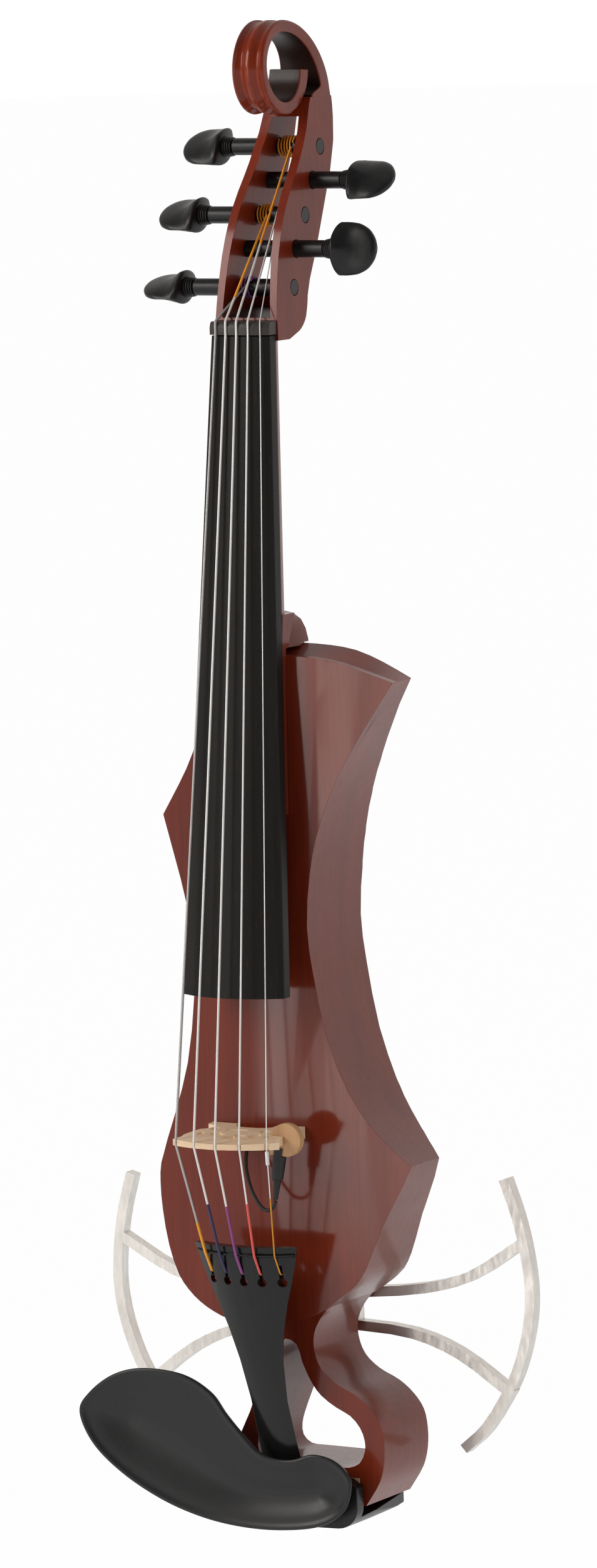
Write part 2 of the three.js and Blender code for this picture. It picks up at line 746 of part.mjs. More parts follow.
function makePegboxAndScroll(pegs) {
  const rise = pegbox.topHeight;
  const toPoint = ([depthShare, heightShare]) => new THREE.Vector3(
    depthShare * pegboxReach,
    heightShare * rise,
    0,
  );
  const smooth = (shares, steps) =>
    new THREE.CatmullRomCurve3(shares.map(toPoint), false, "centripetal")
      .getPoints(steps)
      .map((p) => new THREE.Vector2(p.x, p.y));
  const foot = neck.top + gap;
  const side = [
    new THREE.Vector2(pegbox.floorDepthAtNut, foot),
    new THREE.Vector2(pegbox.floorDepthAtNut, nut.depth + gap),
    ...smooth(cheekFrontShares, 15),
    ...smooth(cheekBackShares, 12),
    new THREE.Vector2(neck.backAtTop + gap, foot),
  ];
  const cheeks = sidePrism(side, -pegbox.halfWidthAtNut, pegbox.halfWidthAtNut);
  const stripFoot = pegbox.topHeight - pegbox.cheekThicknessAtTop;
  const back = scroll.eyeDepth + scroll.backReach;
  const spiralFoot = Math.min(stripFoot, scroll.backCentreHeight - gap);
  const spiralLine = [
    new THREE.Vector2(back, spiralFoot),
    ...scrollOuterLine(),
    ...scrollInnerLine(),
    new THREE.Vector2(back - scroll.stripThickness, spiralFoot),
  ];
  // The ring of the scroll narrows a little upwards; the strip behind it widens down to the pegbox
  const ringTop = scroll.eyeHeight + scroll.outerRadius;
  const ringBottom = ringTop - 2.4 * scroll.outerRadius;
  const ringPlan = [
    new THREE.Vector2(scroll.halfWidthAtBottom, ringBottom),
    new THREE.Vector2(scroll.halfWidthAtTop, ringTop),
    new THREE.Vector2(-scroll.halfWidthAtTop, ringTop),
    new THREE.Vector2(-scroll.halfWidthAtBottom, ringBottom),
  ];
  const ring = common(
    sidePrism(spiralLine, -pegbox.halfWidthAtNut, pegbox.halfWidthAtNut),
    frontPrism(ringPlan, 0, scroll.eyeDepth * 3),
  );
  const strip = common(
    sidePrism(spiralLine, -pegbox.halfWidthAtNut, pegbox.halfWidthAtNut),
    block(
      -pegbox.halfWidthAtNut,
      pegbox.halfWidthAtNut,
      back - scroll.stripThickness,
      back + overrun,
      stripFoot - overrun,
      scroll.eyeHeight + scroll.outerRadius,
    ),
  );
  // Seen from the front, both taper from the nut to the scroll
  const levels = [foot, 0, pegbox.topPegHeight, scroll.eyeHeight + scroll.outerRadius + overrun];
  const plan = [
    ...levels.map((z) => new THREE.Vector2(pegboxHalfWidth(z), z)),
    ...levels.map((z) => new THREE.Vector2(-pegboxHalfWidth(z), z)).reverse(),
  ];
  const taper = frontPrism(plan, 0, pegboxReach + overrun);
  const channelLevels = [0, pegbox.topPegHeight, pegbox.channelTop];
  const channelPlan = [
    ...channelLevels.map((z) => new THREE.Vector2(pegboxInner(z), z)),
    ...channelLevels.map((z) => new THREE.Vector2(-pegboxInner(z), z)).reverse(),
  ];
  const channelSide = [
    new THREE.Vector2(0, pegbox.channelBottom),
    new THREE.Vector2(pegbox.floorDepthAtNut + overrun, pegbox.channelBottom),
    new THREE.Vector2(pegboxReach / 2 + overrun, pegbox.channelBackBottom),
    new THREE.Vector2(pegboxReach + overrun, pegbox.channelBackBottom),
    new THREE.Vector2(pegboxReach + overrun, pegbox.channelTop),
    new THREE.Vector2(0, pegbox.channelTop),
  ];
  const channel = common(
    sidePrism(channelSide, -pegbox.halfWidthAtNut, pegbox.halfWidthAtNut),
    frontPrism(channelPlan, -overrun, pegboxReach + overrun * 2),
  );
  // Two flutes run round the outside of the scroll
  const outer = scrollOuterLine().slice(0, scroll.fluteEndCount);
  outer.unshift(new THREE.Vector2(back, Math.min(pegbox.topHeight, scroll.backCentreHeight - gap)));
  const fluteRun = outer.map((p, i) => {
    const before = outer[Math.max(i - 1, 0)];
    const after = outer[Math.min(i + 1, outer.length - 1)];
    const along = after.clone().sub(before).normalize();
    const lift = i === 0 || i === outer.length - 1 ? scroll.fluteRadius * 1.2 : scroll.fluteLift;
    return point(0, p.x + along.y * lift, p.y - along.x * lift);
  });
  const flutes = [-1, 1].map((side) =>
    tube(
      fluteRun.map((p) => p.clone().setX((side * scroll.flutePitch) / 2)),
      scroll.fluteRadius,
      10,
    ),
  );
  const holes = pegs.flatMap((p) => {
    const half = pegbox.halfWidthAtNut + overrun;
    const casingHole = peg.casingRadius + gap;
    const tipHole = peg.tipRadius + turningClearance;
    const centre = point(0, p.y, p.z);
    const headSide = [
      centre.clone().setX(p.side < 0 ? -half : 0),
      centre.clone().setX(p.side < 0 ? 0 : half),
    ];
    const tipSide = [
      centre.clone().setX(p.side < 0 ? 0 : -half),
      centre.clone().setX(p.side < 0 ? half : 0),
    ];
    const head = bar("x", ...headSide, casingHole, casingHole, pegSides);
    const tip = bar("x", ...tipSide, tipHole, tipHole, pegSides);
    return [head, tip];
  });
  const wood = cut(join(common(join(cut(cheeks, channel), strip), taper), ring), ...flutes, ...holes);
  piece("pegbox_scroll", wood, finishes.lacqueredWood);
}

// Each peg: the side its head is on, the head's turn in degrees, its string and the turns wound on it
const pegRows = [
  { name: "a", side: -1, turn: 51, string: 2, turns: 5 },
  { name: "b", side: -1, turn: 58, string: 1, turns: 4 },
  { name: "c", side: -1, turn: 67, string: 0, turns: 3 },
  { name: "d", side: 1, turn: 48, string: 3, turns: 3 },
  { name: "e", side: 1, turn: 8, string: 4, turns: 3 },
].map((row) => ({ ...row, y: pegPlaces[row.name].depth, z: pegPlaces[row.name].height }));
const pegSides = 16;

// Half width and half thickness of a peg head along its length, as shares of the largest
const headShares = [
  [0.03, 0.6, 0.9],
  [0.11, 0.84, 1],
  [0.24, 0.98, 0.88],
  [0.42, 1, 0.62],
  [0.62, 0.92, 0.48],
  [0.81, 0.73, 0.37],
  [0.94, 0.44, 0.27],
  [1, 0.16, 0.14],
];

const collarShares = [
  [0, 0.9],
  [0.18, 1],
  [0.36, 0.82],
  [0.56, 1],
  [0.78, 0.84],
  [1, 0.78],
];

function makePeg(row) {
  const half = pegboxHalfWidth(row.z);
  const cheekInner = pegboxInner(row.z);
  const casingLength = pegPlaces[row.name].casingLength;
  const outerEnd = half + casingLength;
  const along = (x) => point(row.side * x, row.y, row.z);
  const span = (from, to, radiusFrom, radiusTo = radiusFrom, sides = pegSides) =>
    row.side > 0
      ? bar("x", along(from), along(to), radiusFrom, radiusTo, sides)
      : bar("x", along(to), along(from), radiusTo, radiusFrom, sides);
  // The casing sits in the near cheek and holds the sealed gearing
  const casing = span(cheekInner, outerEnd, peg.casingRadius);
  const socket = span(
    outerEnd - peg.stubLength - gap,
    outerEnd + overrun,
    peg.stubRadius + turningClearance,
    peg.stubRadius + turningClearance,
    12,
  );
  piece(`peg_casing_${row.name}`, cut(casing, socket), finishes.blackPlastic);
  // The string shaft crosses the pegbox and ends flush in the far cheek
  const farEnd = -half;
  const shaft = join(
    span(-cheekInner + gap, cheekInner - gap, peg.shaftRadius),
    span(farEnd, -cheekInner + gap + overrun, peg.tipRadius),
  );
  piece(`peg_shaft_${row.name}`, shaft, finishes.satinBlack);
  // The head: a ringed collar and a flattened oval grip
  const sides = 12;
  const collarStart = outerEnd + gap;
  const turn = THREE.MathUtils.degToRad(row.turn);
  const ringAt = (x, halfWidth, halfThickness) =>
    Array.from({ length: sides }, (_, k) => {
      const angle = (2 * Math.PI * k) / sides;
      const u = halfWidth * Math.cos(angle);
      const v = halfThickness * Math.sin(angle);
      return point(
        row.side * x,
        row.y + u * Math.sin(turn) + v * Math.cos(turn),
        row.z + u * Math.cos(turn) - v * Math.sin(turn),
      );
    });
  const rings = collarShares.map(([share, radiusShare]) =>
    ringAt(
      collarStart + share * peg.collarLength,
      peg.collarRadius * radiusShare,
      peg.collarRadius * radiusShare,
    ),
  );
  headShares.forEach(([share, widthShare, thicknessShare]) =>
    rings.push(
      ringAt(
        collarStart + peg.collarLength + share * peg.headLength,
        peg.headHalfWidth * widthShare,
        peg.headHalfThickness * thicknessShare,
      ),
    ),
  );
  const stub = span(
    outerEnd - peg.stubLength,
    collarStart + peg.collarLength / 2,
    peg.stubRadius,
    peg.stubRadius,
    12,
  );
  piece(`peg_head_${row.name}`, join(loft(rings), stub), finishes.satinBlack);
}

// A string leaves its nut groove and meets the winding where it is tangent to it, on the front side
const windingRadiusAt = () => peg.shaftRadius + turningClearance + winding.radius;
const nutBack = (i) => nutPoint(i).setZ(nut.depth + gap);
function tangentAngle(row) {
  const from = nutBack(row.string);
  const reachY = row.y - from.y;
  const reachZ = row.z - from.z;
  const distance = Math.hypot(reachY, reachZ);
  const bearing = Math.atan2(-reachZ, -reachY);
  return bearing - Math.acos(windingRadiusAt() / distance);
}
const roundPeg = (row, x, angle) =>
  point(x, row.y + windingRadiusAt() * Math.cos(angle), row.z + windingRadiusAt() * Math.sin(angle));

function windingPoints(row) {
  const start = tangentAngle(row);
  const count = row.turns * winding.stepsPerTurn;
  const points = [];
  for (let i = 0; i <= count; i++) {
    const turned = i / winding.stepsPerTurn;
    const x = pegPlaces[row.name].windingStart + row.side * turned * winding.pitch;
    points.push(roundPeg(row, x, start - turned * 2 * Math.PI));
  }
  // Both ends run straight for a little
  const endRun = winding.endRun;
  const outward = points[0].clone().sub(points[1]).setX(0).normalize();
  const first = points[0].clone().add(outward.multiplyScalar(endRun));
  const last = points[count].clone();
  const onward = last.clone().sub(points[count - 1]).setX(0).normalize();
  return [first, ...points, last.add(onward.multiplyScalar(endRun))];
}

// The least open distance between two turns of one winding, measured on its points
function leastTurnGap(points) {
  let least = Infinity;
  points.forEach((p, i) => {
    for (let j = i + winding.stepsPerTurn / 2; j < points.length; j++) least = Math.min(
      least,
      p.distanceTo(points[j]),
    );
  });
  return least - 2 * winding.radius;
}

function makeWinding(row) {
  const points = windingPoints(row);
  const least = leastTurnGap(points);
  console.log(`string_winding_${row.name}: ${row.turns} turns, least gap to itself ${least.toFixed(2)} mm`);
  if (least <= winding.leastGap) throw new Error(`the turns of winding ${row.name} are too close`);
  const silkLast = 2;
  const wound = row.string <= silkLast ? finishes.orangeSilk : finishes.stringSteel;
  const silk = row.string === 0 ? finishes.violetSilk : wound;
  piece(`string_winding_${row.name}`, tube(points, winding.radius, winding.sides), silk);
  return points[0];
}

// Body: outline rows are [share of the reach, share of the length], clockwise from the treble end of the neck joint
const bodyShares = [
  [0.25, 0, "corner"],
  [0.432, 0.0025],
  [0.6, 0.009],
  [0.773, 0.022],
  [0.953, 0.036, "corner"],
  [0.763, 0.103],
  [0.63, 0.154],
  [0.514, 0.208],
  [0.426, 0.268],
  [0.38, 0.322],
  [0.354, 0.402],
  [0.386, 0.472],
  [0.469, 0.571],
  [0.594, 0.646],
  [0.722, 0.692],
  [0.889, 0.731],
  [0.997, 0.751, "corner"],
  [0.937, 0.782],
  [0.797, 0.843],
  [0.685, 0.906],
  [0.616, 0.932],
  [0.497, 0.956],
  [0.342, 0.982],
  [0.14, 0.996],
  [-0.072, 1],
  [-0.25, 0.997],
  [-0.344, 0.988],
  [-0.442, 0.974],
  [-0.521, 0.956],
  [-0.583, 0.935],
  [-0.646, 0.891],
  [-0.683, 0.838],
  [-0.694, 0.796],
  [-0.685, 0.767],
  [-0.578, 0.691],
  [-0.481, 0.614],
  [-0.423, 0.514],
  [-0.413, 0.439],
  [-0.462, 0.371],
  [-0.53, 0.305],
  [-0.604, 0.242, "corner"],
  [-0.49, 0.196],
  [-0.384, 0.146],
  [-0.295, 0.071],
  [-0.25, 0, "corner"],
];
// How much of the shoulder's rise each of the first rows takes, and the last
const shoulderShares = [1, 1, 1, 0.75, 0.1];
const bodyRows = (rise = 0) =>
  bodyShares.map(([across, down, kind], i) => {
    const share = i === bodyShares.length - 1 ? 1 : (shoulderShares[i] ?? 0);
    return [across * body.reach, body.top - down * body.length + rise * share, kind];
  });

// Depth of the plate's crown line along the body
function crownDepth(z) {
  const share = THREE.MathUtils.clamp((body.top - z) / body.length, 0, 1);
  return body.crownFall * (1 - Math.sin(Math.PI * share) ** 0.5);
}

// Depth of the plate's face: a low arch over the middle, level near the edge
function plateDepth(x, z) {
  const share = Math.min(Math.abs(x) / body.archHalfSpan, 1);
  return THREE.MathUtils.lerp(body.edgeFront, crownDepth(z), Math.cos((Math.PI / 2) * share) ** 2);
}

// A block whose front follows the plate's face, brought forward by a clearance
function archedBlock(back, forward = 0) {
  const across = 10;
  const down = 12;
  const reach = body.reach * 1.1;
  const rings = Array.from({ length: down + 1 }, (_, r) => {
    const z = body.top + overrun - ((body.length + 2 * overrun) * r) / down;
    const face = Array.from({ length: across + 1 }, (_, i) => {
      const share = (2 * i) / across - 1;
      const x = reach * share;
      return point(x, plateDepth(x, z) - forward, z);
    });
    return [...face, point(reach, back, z), point(-reach, back, z)];
  });
  return loft(rings);
}

function makeTopPlate() {
  const back = body.edgeFront + body.plateThickness;
  const outline = frontPrism(smoothLoop(bodyRows(), 2), -overrun, back);
  const leadHole = bar(
    "y",
    point(leadRoute[leadRoute.length - 1].x, -overrun, leadRoute[leadRoute.length - 1].z),
    point(0, back + overrun, 0),
    pickup.holeRadius,
    pickup.holeRadius,
    12,
  );
  piece("top_plate", cut(common(outline, archedBlock(back)), leadHole), finishes.lacqueredWood);
}

// Depth of the back down the upper body, as shares of its height and of its depth
const upperBackShares = [
  [0, 0],
  [0.14, 0.035],
  [0.25, 0.17],
  [0.37, 0.38],
  [0.5, 0.6],
  [0.65, 0.79],
  [0.82, 0.93],
  [1, 1],
];

function makeBodyCore() {
  const front = body.edgeFront + body.plateThickness + gap;
  // The end by the neck leans up towards the back
  const ring = (y, rise) => smoothLoop(bodyRows(rise), 2).map((p) => point(p.x, y, p.y));
  const outline = loft([
    ring(front, 0),
    ring(body.shoulderDepth, body.shoulderRise),
    ring(body.back, body.shoulderRise),
  ]);
  // Across the back: flat in the middle, falling away to the horns
  const steps = 7;
  const fall = Array.from({ length: steps + 1 }, (_, i) => {
    const share = i / steps;
    const x = THREE.MathUtils.lerp(body.flatBackHalfWidth, body.backReach + overrun, share);
    const shareOut = (x - body.flatBackHalfWidth) / (body.backReach - body.flatBackHalfWidth);
    return new THREE.Vector2(x, body.back - body.backFall * shareOut * shareOut);
  });
  const section = [
    ...fall,
    new THREE.Vector2(body.backReach + overrun, 0),
    new THREE.Vector2(-body.backReach - overrun, 0),
    ...fall.map((p) => new THREE.Vector2(-p.x, p.y)).reverse(),
  ];
  const bottom = body.seamHeight + gap / 2;
  const upper = body.top + body.shoulderRise + overrun;
  const backArch = topPrism(section, bottom, upper);
  // Along the back: thin at the neck, full from the waist down
  const rows = upperBackShares.map(([down, deep]) => {
    const z = THREE.MathUtils.lerp(body.top + body.shoulderRise, body.upperBackHeight, down);
    const y = THREE.MathUtils.lerp(body.neckEndBack, body.back, deep);
    return new THREE.Vector2(y, z);
  });
  const profile = [
    new THREE.Vector2(0, upper),
    new THREE.Vector2(body.neckEndBack, upper),
    ...rows,
    new THREE.Vector2(body.back, bottom + body.bottomRound),
    new THREE.Vector2(body.bottomBack, bottom),
    new THREE.Vector2(body.bottomBack, bottom - overrun),
    new THREE.Vector2(0, bottom - overrun),
  ];
  const backLine = sidePrism(profile, -body.reach * 1.1, body.reach * 1.1);
  const hollow = block(
    -cavity.halfWidth,
    cavity.halfWidth,
    cavity.floor,
    body.back + overrun,
    cavity.bottom,
    cavity.top,
  );
  const rebateHalf = cavity.halfWidth + cavity.rebate + gap;
  const rebate = block(
    -rebateHalf,
    rebateHalf,
    body.back - cavity.coverThickness - gap,
    body.back + overrun,
    cavity.bottom - cavity.rebate - gap,
    cavity.top + cavity.rebate + gap,
  );
  const leadEnd = leadRoute[leadRoute.length - 1];
  const leadWay = join(
    bar(
      "y",
      point(leadEnd.x, 0, leadEnd.z),
      point(0, cavity.floor + overrun, 0),
      pickup.holeRadius,
      pickup.holeRadius,
      12,
    ),
  );
  const jackRoom = join(
    bar(
      "x",
      point(-body.reach, jack.depth, jack.height),
      point(-cavity.halfWidth + overrun, 0, 0),
      jack.barrelRadius + gap,
    ),
    bar(
      "x",
      point(-body.reach, jack.depth, jack.height),
      point(jack.wall + jack.flangeThickness + gap, 0, 0),
      jack.flangeRadius + gap,
      jack.flangeRadius + gap,
      28,
    ),
  );
  const coverHoles = coverScrewHeights.map((z) =>
    bar(
      "y",
      point(0, body.back - coverScrew.length - gap, z),
      point(0, body.back, 0),
      coverScrew.radius + gap,
      coverScrew.radius + gap,
      12,
    ),
  );
  const wood = cut(common(outline, backArch, backLine), hollow, rebate, leadWay, jackRoom, ...coverHoles);
  piece("body_core", wood, finishes.lacqueredWood);
}

// Tail loop: outline and opening as [share of the reach, share of the length below the seam]
const tailOuterShares = [
  [0.527, 0, "corner"],
  [0.442, 0.061],
  [0.383, 0.137],
  [0.381, 0.218],
  [0.437, 0.304],
  [0.563, 0.37],
  [0.742, 0.422],
  [0.867, 0.482],
  [0.954, 0.554],
  [0.985, 0.644],
  [0.981, 0.742],
  [0.94, 0.833],
  [0.812, 0.954, "corner"],
  [0.56, 0.99],
  [0.1, 1],
  [-0.2, 0.972],
  [-0.36, 0.88],
  [-0.37, 0.75],
  [-0.29, 0.627],
  [-0.187, 0.492],
  [-0.154, 0.36],
  [-0.165, 0.25],
  [-0.23, 0.151],
  [-0.36, 0.09, "corner"],
  [-0.46, 0.051],
  [-0.6, 0.004],
  [-0.605, 0, "corner"],
];
const tailOpeningShares = [
  [0.12, 0.17],
  [0.221, 0.193],
  [0.269, 0.278],
  [0.352, 0.377],
  [0.431, 0.434],
  [0.567, 0.488],
  [0.687, 0.523],
  [0.773, 0.578],
  [0.812, 0.64],
  [0.811, 0.69],
  [0.76, 0.75],
  [0.66, 0.775],
  [0.394, 0.772],
  [0.042, 0.768],
  [-0.07, 0.763],
  [-0.142, 0.725],
  [-0.15, 0.67],
  [-0.125, 0.614],
  [-0.052, 0.505],
  [0.02, 0.4],
  [0.075, 0.28],
  [0.086, 0.215],
];
const tailSeam = body.seamHeight - gap / 2;
const tailBottom = tailSeam - tail.length;
// The underside of the tail rises towards the back; everything below it keeps a clearance
const tailUnderside = (clear, reach) =>
  sidePrism(
    [
      new THREE.Vector2(tail.front - reach, tailBottom - clear),
      new THREE.Vector2(tail.front, tailBottom - clear),
      new THREE.Vector2(tail.back, tailBottom + tail.backRise - clear),
      new THREE.Vector2(tail.back + reach, tailBottom + tail.backRise - clear),
      new THREE.Vector2(tail.back + reach, tailSeam + overrun),
      new THREE.Vector2(tail.front - reach, tailSeam + overrun),
    ],
    -tail.reach * 2,
    tail.reach * 2,
  );
const tailRows = (shares) => shares.map(([across, down, kind]) => [
  across * tail.reach,
  tailSeam - down * tail.length,
  kind,
]);
const tailCentreX = tailpiece.endShift;

function makeTailLoop() {
  const opening = smoothLoop(tailRows(tailOpeningShares), 2);
  const wood = frontPrism(smoothLoop(tailRows(tailOuterShares), 3), tail.front, tail.back, [opening]);
  const notch = block(
    tailCentreX - saddle.halfLength - gap,
    tailCentreX + saddle.halfLength + gap,
    tail.front - overrun,
    tail.front + saddle.depth + gap,
    tailBottom - overrun,
    tailBottom + saddle.height + gap,
  );
  const buttonHole = bar(
    "z",
    point(tailCentreX, endButton.depth, tailBottom - overrun),
    point(0, 0, tailBottom + endButton.shankLength + gap),
    endButton.neckRadius + gap,
  );
  const screwHoles = frameScrewXs.map((x) =>
    bar(
      "y",
      point(x, frameScrewTip - gap, frameScrewZ(x)),
      point(0, tail.back + overrun, 0),
      frame.screwRadius + gap,
      frame.screwRadius + gap,
      12,
    ),
  );
  piece(
    "tail_loop",
    cut(common(wood, tailUnderside(0, overrun)), notch, buttonHole, ...screwHoles),
    finishes.lacqueredWood,
  );
}

// Bridge: right half of the outline as [share of the half span, share of the crown height]
const bridgeHalfShares = [
  [1.0, 0],
  [1.0, 0.066],
  [0.83, 0.12],
  [0.76, 0.2],
  [0.8, 0.27],
  [0.94, 0.33],
];
const bridgeWingShares = [
  [1.0, 0.52],
  [1.02, 0.62],
  [0.98, 0.72],
];
const kidneyShares = [
  [0.3, 0.5],
  [0.42, 0.42],
  [0.52, 0.48],
  [0.5, 0.58],
  [0.36, 0.6],
];
const heartShares = [
  [0, 0.56],
  [0.12, 0.66],
  [0.08, 0.74],
  [0, 0.7],
  [-0.08, 0.74],
  [-0.12, 0.66],
];

function makeBridge() {
  const place = (x, rise) => new THREE.Vector2(x, -rise * strings.crownHeight + crownSeat);
  const half = bridge.footHalfSpan;
  const side = (sign) => [
    new THREE.Vector2(sign * half, body.edgeFront),
    ...bridgeHalfShares.slice(1).map(([x, rise]) => place(sign * x * half, rise)),
    ...bridgeWingShares.map(([x, rise]) => place(sign * x * half, rise)),
  ];
  const crown = Array.from({ length: 13 }, (_, i) => {
    const x = THREE.MathUtils.lerp(bridge.crownSpanTreble, -bridge.crownSpanBass, i / 12);
    return new THREE.Vector2(x, bridgeDepthAt(x));
  });
  const arch = Array.from({ length: 9 }, (_, i) => {
    const angle = Math.PI * (1 - i / 8);
    const foot = i === 0 || i === 8 ? body.edgeFront : crownSeat;
    return new THREE.Vector2(
      bridge.archHalfWidth * Math.cos(angle),
      foot - bridge.archHeight * Math.sin(angle) ** 0.6,
    );
  });
  const outline = [...side(1), ...crown, ...side(-1).reverse(), ...arch];
  const kidney = (sign) =>
    smoothLoop(
      kidneyShares.map(([x, rise]) => [sign * x * half, crownSeat - rise * strings.crownHeight]),
      2,
    );
  const heart = smoothLoop(
    heartShares.map(([x, rise]) => [x * half, crownSeat - rise * strings.crownHeight]),
    2,
  );
  const z = -strings.soundingLength;
  const slab = topPrism(outline, z - bridge.footAhead, z + bridge.footAhead, [
    kidney(1),
    kidney(-1),
    heart,
  ]);
  // Both faces lean in towards the crown
  const wedge = sidePrism(
    [
      new THREE.Vector2(body.edgeFront, z - bridge.footBehind),
      new THREE.Vector2(body.edgeFront, z + bridge.footAhead),
      new THREE.Vector2(-strings.crownHeight - overrun, z + bridge.thicknessAtCrown / 2),
      new THREE.Vector2(-strings.crownHeight - overrun, z - bridge.thicknessAtCrown / 2),
    ],
    -body.reach,
    body.reach,
  );
  const disc = pickupDisc(gap);
  const grooves = stringIndexes.map((i) => {
    const at = bridgePoint(i);
    const run = [at.clone().setZ(at.z - overrun), at.clone().setZ(at.z + overrun)];
    const radius = i === strings.radii.length - 1 ? stringTube.outerRadius : strings.radii[i];
    return tube(run, radius + gap, 8);
  });
  const plate = archedBlock(body.back, gap);
  piece("bridge", cut(common(slab, wedge), plate, disc, ...grooves), finishes.maple);
}
const crownSeat = -gap;
const stringTube = { outerRadius: 0.8, length: 5.6 };

function pickupDisc(grow) {
  const front = -pickup.depth - pickup.thickness / 2 - grow;
  const back = -pickup.depth + pickup.thickness / 2 + grow;
  const disc = bar(
    "y",
    point(pickup.offsetX, front, pickup.height),
    point(0, back, 0),
    pickup.radius + grow,
    pickup.radius + grow,
    28,
  );
  // A square corner on the disc carries the lead
  const tab = block(
    pickup.offsetX - pickup.tabReach - grow,
    pickup.offsetX,
    front,
    back,
    pickup.height - pickup.tabDrop - grow,
    pickup.height,
  );
  return join(disc, tab);
}

// The lead's route from the sleeve's tip, under the bridge, into the hole behind it
const sleeveTop = pickup.height - pickup.radius;
const sleeveAt = (down) => {
  const share = down / (pickup.sleeveLength + pickup.sleeveTipLength);
  return point(
    pickup.offsetX - pickup.sleeveShift - pickup.sleeveLean * share,
    -pickup.depth,
    sleeveTop - down,
  );
};
const leadRoute = [
  point(15.8, -15, -352.5),
  point(15.5, -15, -353.4),
  point(14.6, -14.9, -355),
  point(12.6, -14.6, -356.5),
  point(10, -14.3, -356.3),
  point(7.4, -13.8, -354.4),
  point(5.2, -13.2, -351.6),
  point(3.2, -12.4, -348.6),
  point(1.4, -11.4, -345),
  point(0, -10.2, -341.8),
  point(-1, -8.8, -338.6),
  point(-1.8, -7, -335.8),
  point(-2.4, -4.9, -333.4),
  point(-2.8, -2.6, -332),
  point(-3, -0.4, -331.4),
  point(-3, 1.6, -331.2),
  point(-3, 3.4, -331.2),
];

function makePickup() {
  const disc = pickupDisc(0);
  piece("pickup_disc", disc, finishes.discWood);
  const step = pickup.sleeveLength;
  const end = step + pickup.sleeveTipLength;
  const ring = (down, radius) =>
    Array.from({ length: 14 }, (_, k) => {
      const angle = (2 * Math.PI * k) / 14;
      const centre = sleeveAt(down);
      return point(centre.x + radius * Math.cos(angle), centre.y + radius * Math.sin(angle), centre.z);
    });
  const sleeve = loft([
    ring(-pickup.radius / 2, pickup.sleeveRadius),
    ring(step, pickup.sleeveStepRadius),
    ring(step + gap, pickup.sleeveTipRadius),
    ring(end, pickup.sleeveEndRadius),
  ]);
  piece("pickup_sleeve", cut(sleeve, pickupDisc(gap)), finishes.rubberSleeve);
  const route = new THREE.CatmullRomCurve3(leadRoute, false, "centripetal");
  piece("pickup_lead", tube(route.getPoints(16), pickup.leadRadius, 8), finishes.rubberSleeve);
}

// Tailpiece: rings along its length, arched on top
const tailpieceAt = (share) => ({
  x: THREE.MathUtils.lerp(tailpiece.topShift, tailpiece.endShift, share),
  y: THREE.MathUtils.lerp(tailpiece.topDepth, tailpiece.endDepth, share),
  z: tailpiece.topHeight - share * tailpieceDrop,
});
const tailpieceDrop = Math.sqrt(tailpiece.length ** 2 - (tailpiece.endDepth - tailpiece.topDepth) ** 2);
// Half width along the tailpiece, as shares of its length and of its largest half width
const tailpieceWidthShares = [
  [0, 1],
  [0.07, 0.93],
  [0.16, 0.82],
  [0.26, 0.68],
  [0.38, 0.54],
  [0.52, 0.43],
  [0.7, 0.36],
  [0.88, 0.37],
  [1, 0.39],
];
const tailpieceHalfWidth = (share) => {
  const next = Math.max(tailpieceWidthShares.findIndex(([at]) => at >= share - 1e-9), 1);
  const [from, narrow] = tailpieceWidthShares[next - 1];
  const [to, wide] = tailpieceWidthShares[next];
  return tailpiece.halfWidth * THREE.MathUtils.lerp(narrow, wide, (share - from) / (to - from));
};
const tailpieceRadius = (share) => THREE.MathUtils.lerp(
  tailpiece.archRadius,
  tailpiece.endArchRadius,
  share,
);
const sagitta = (x, radius) => radius - Math.sqrt(radius * radius - x * x);
const slotShare = tailpiece.keyholeOffset / tailpiece.length;

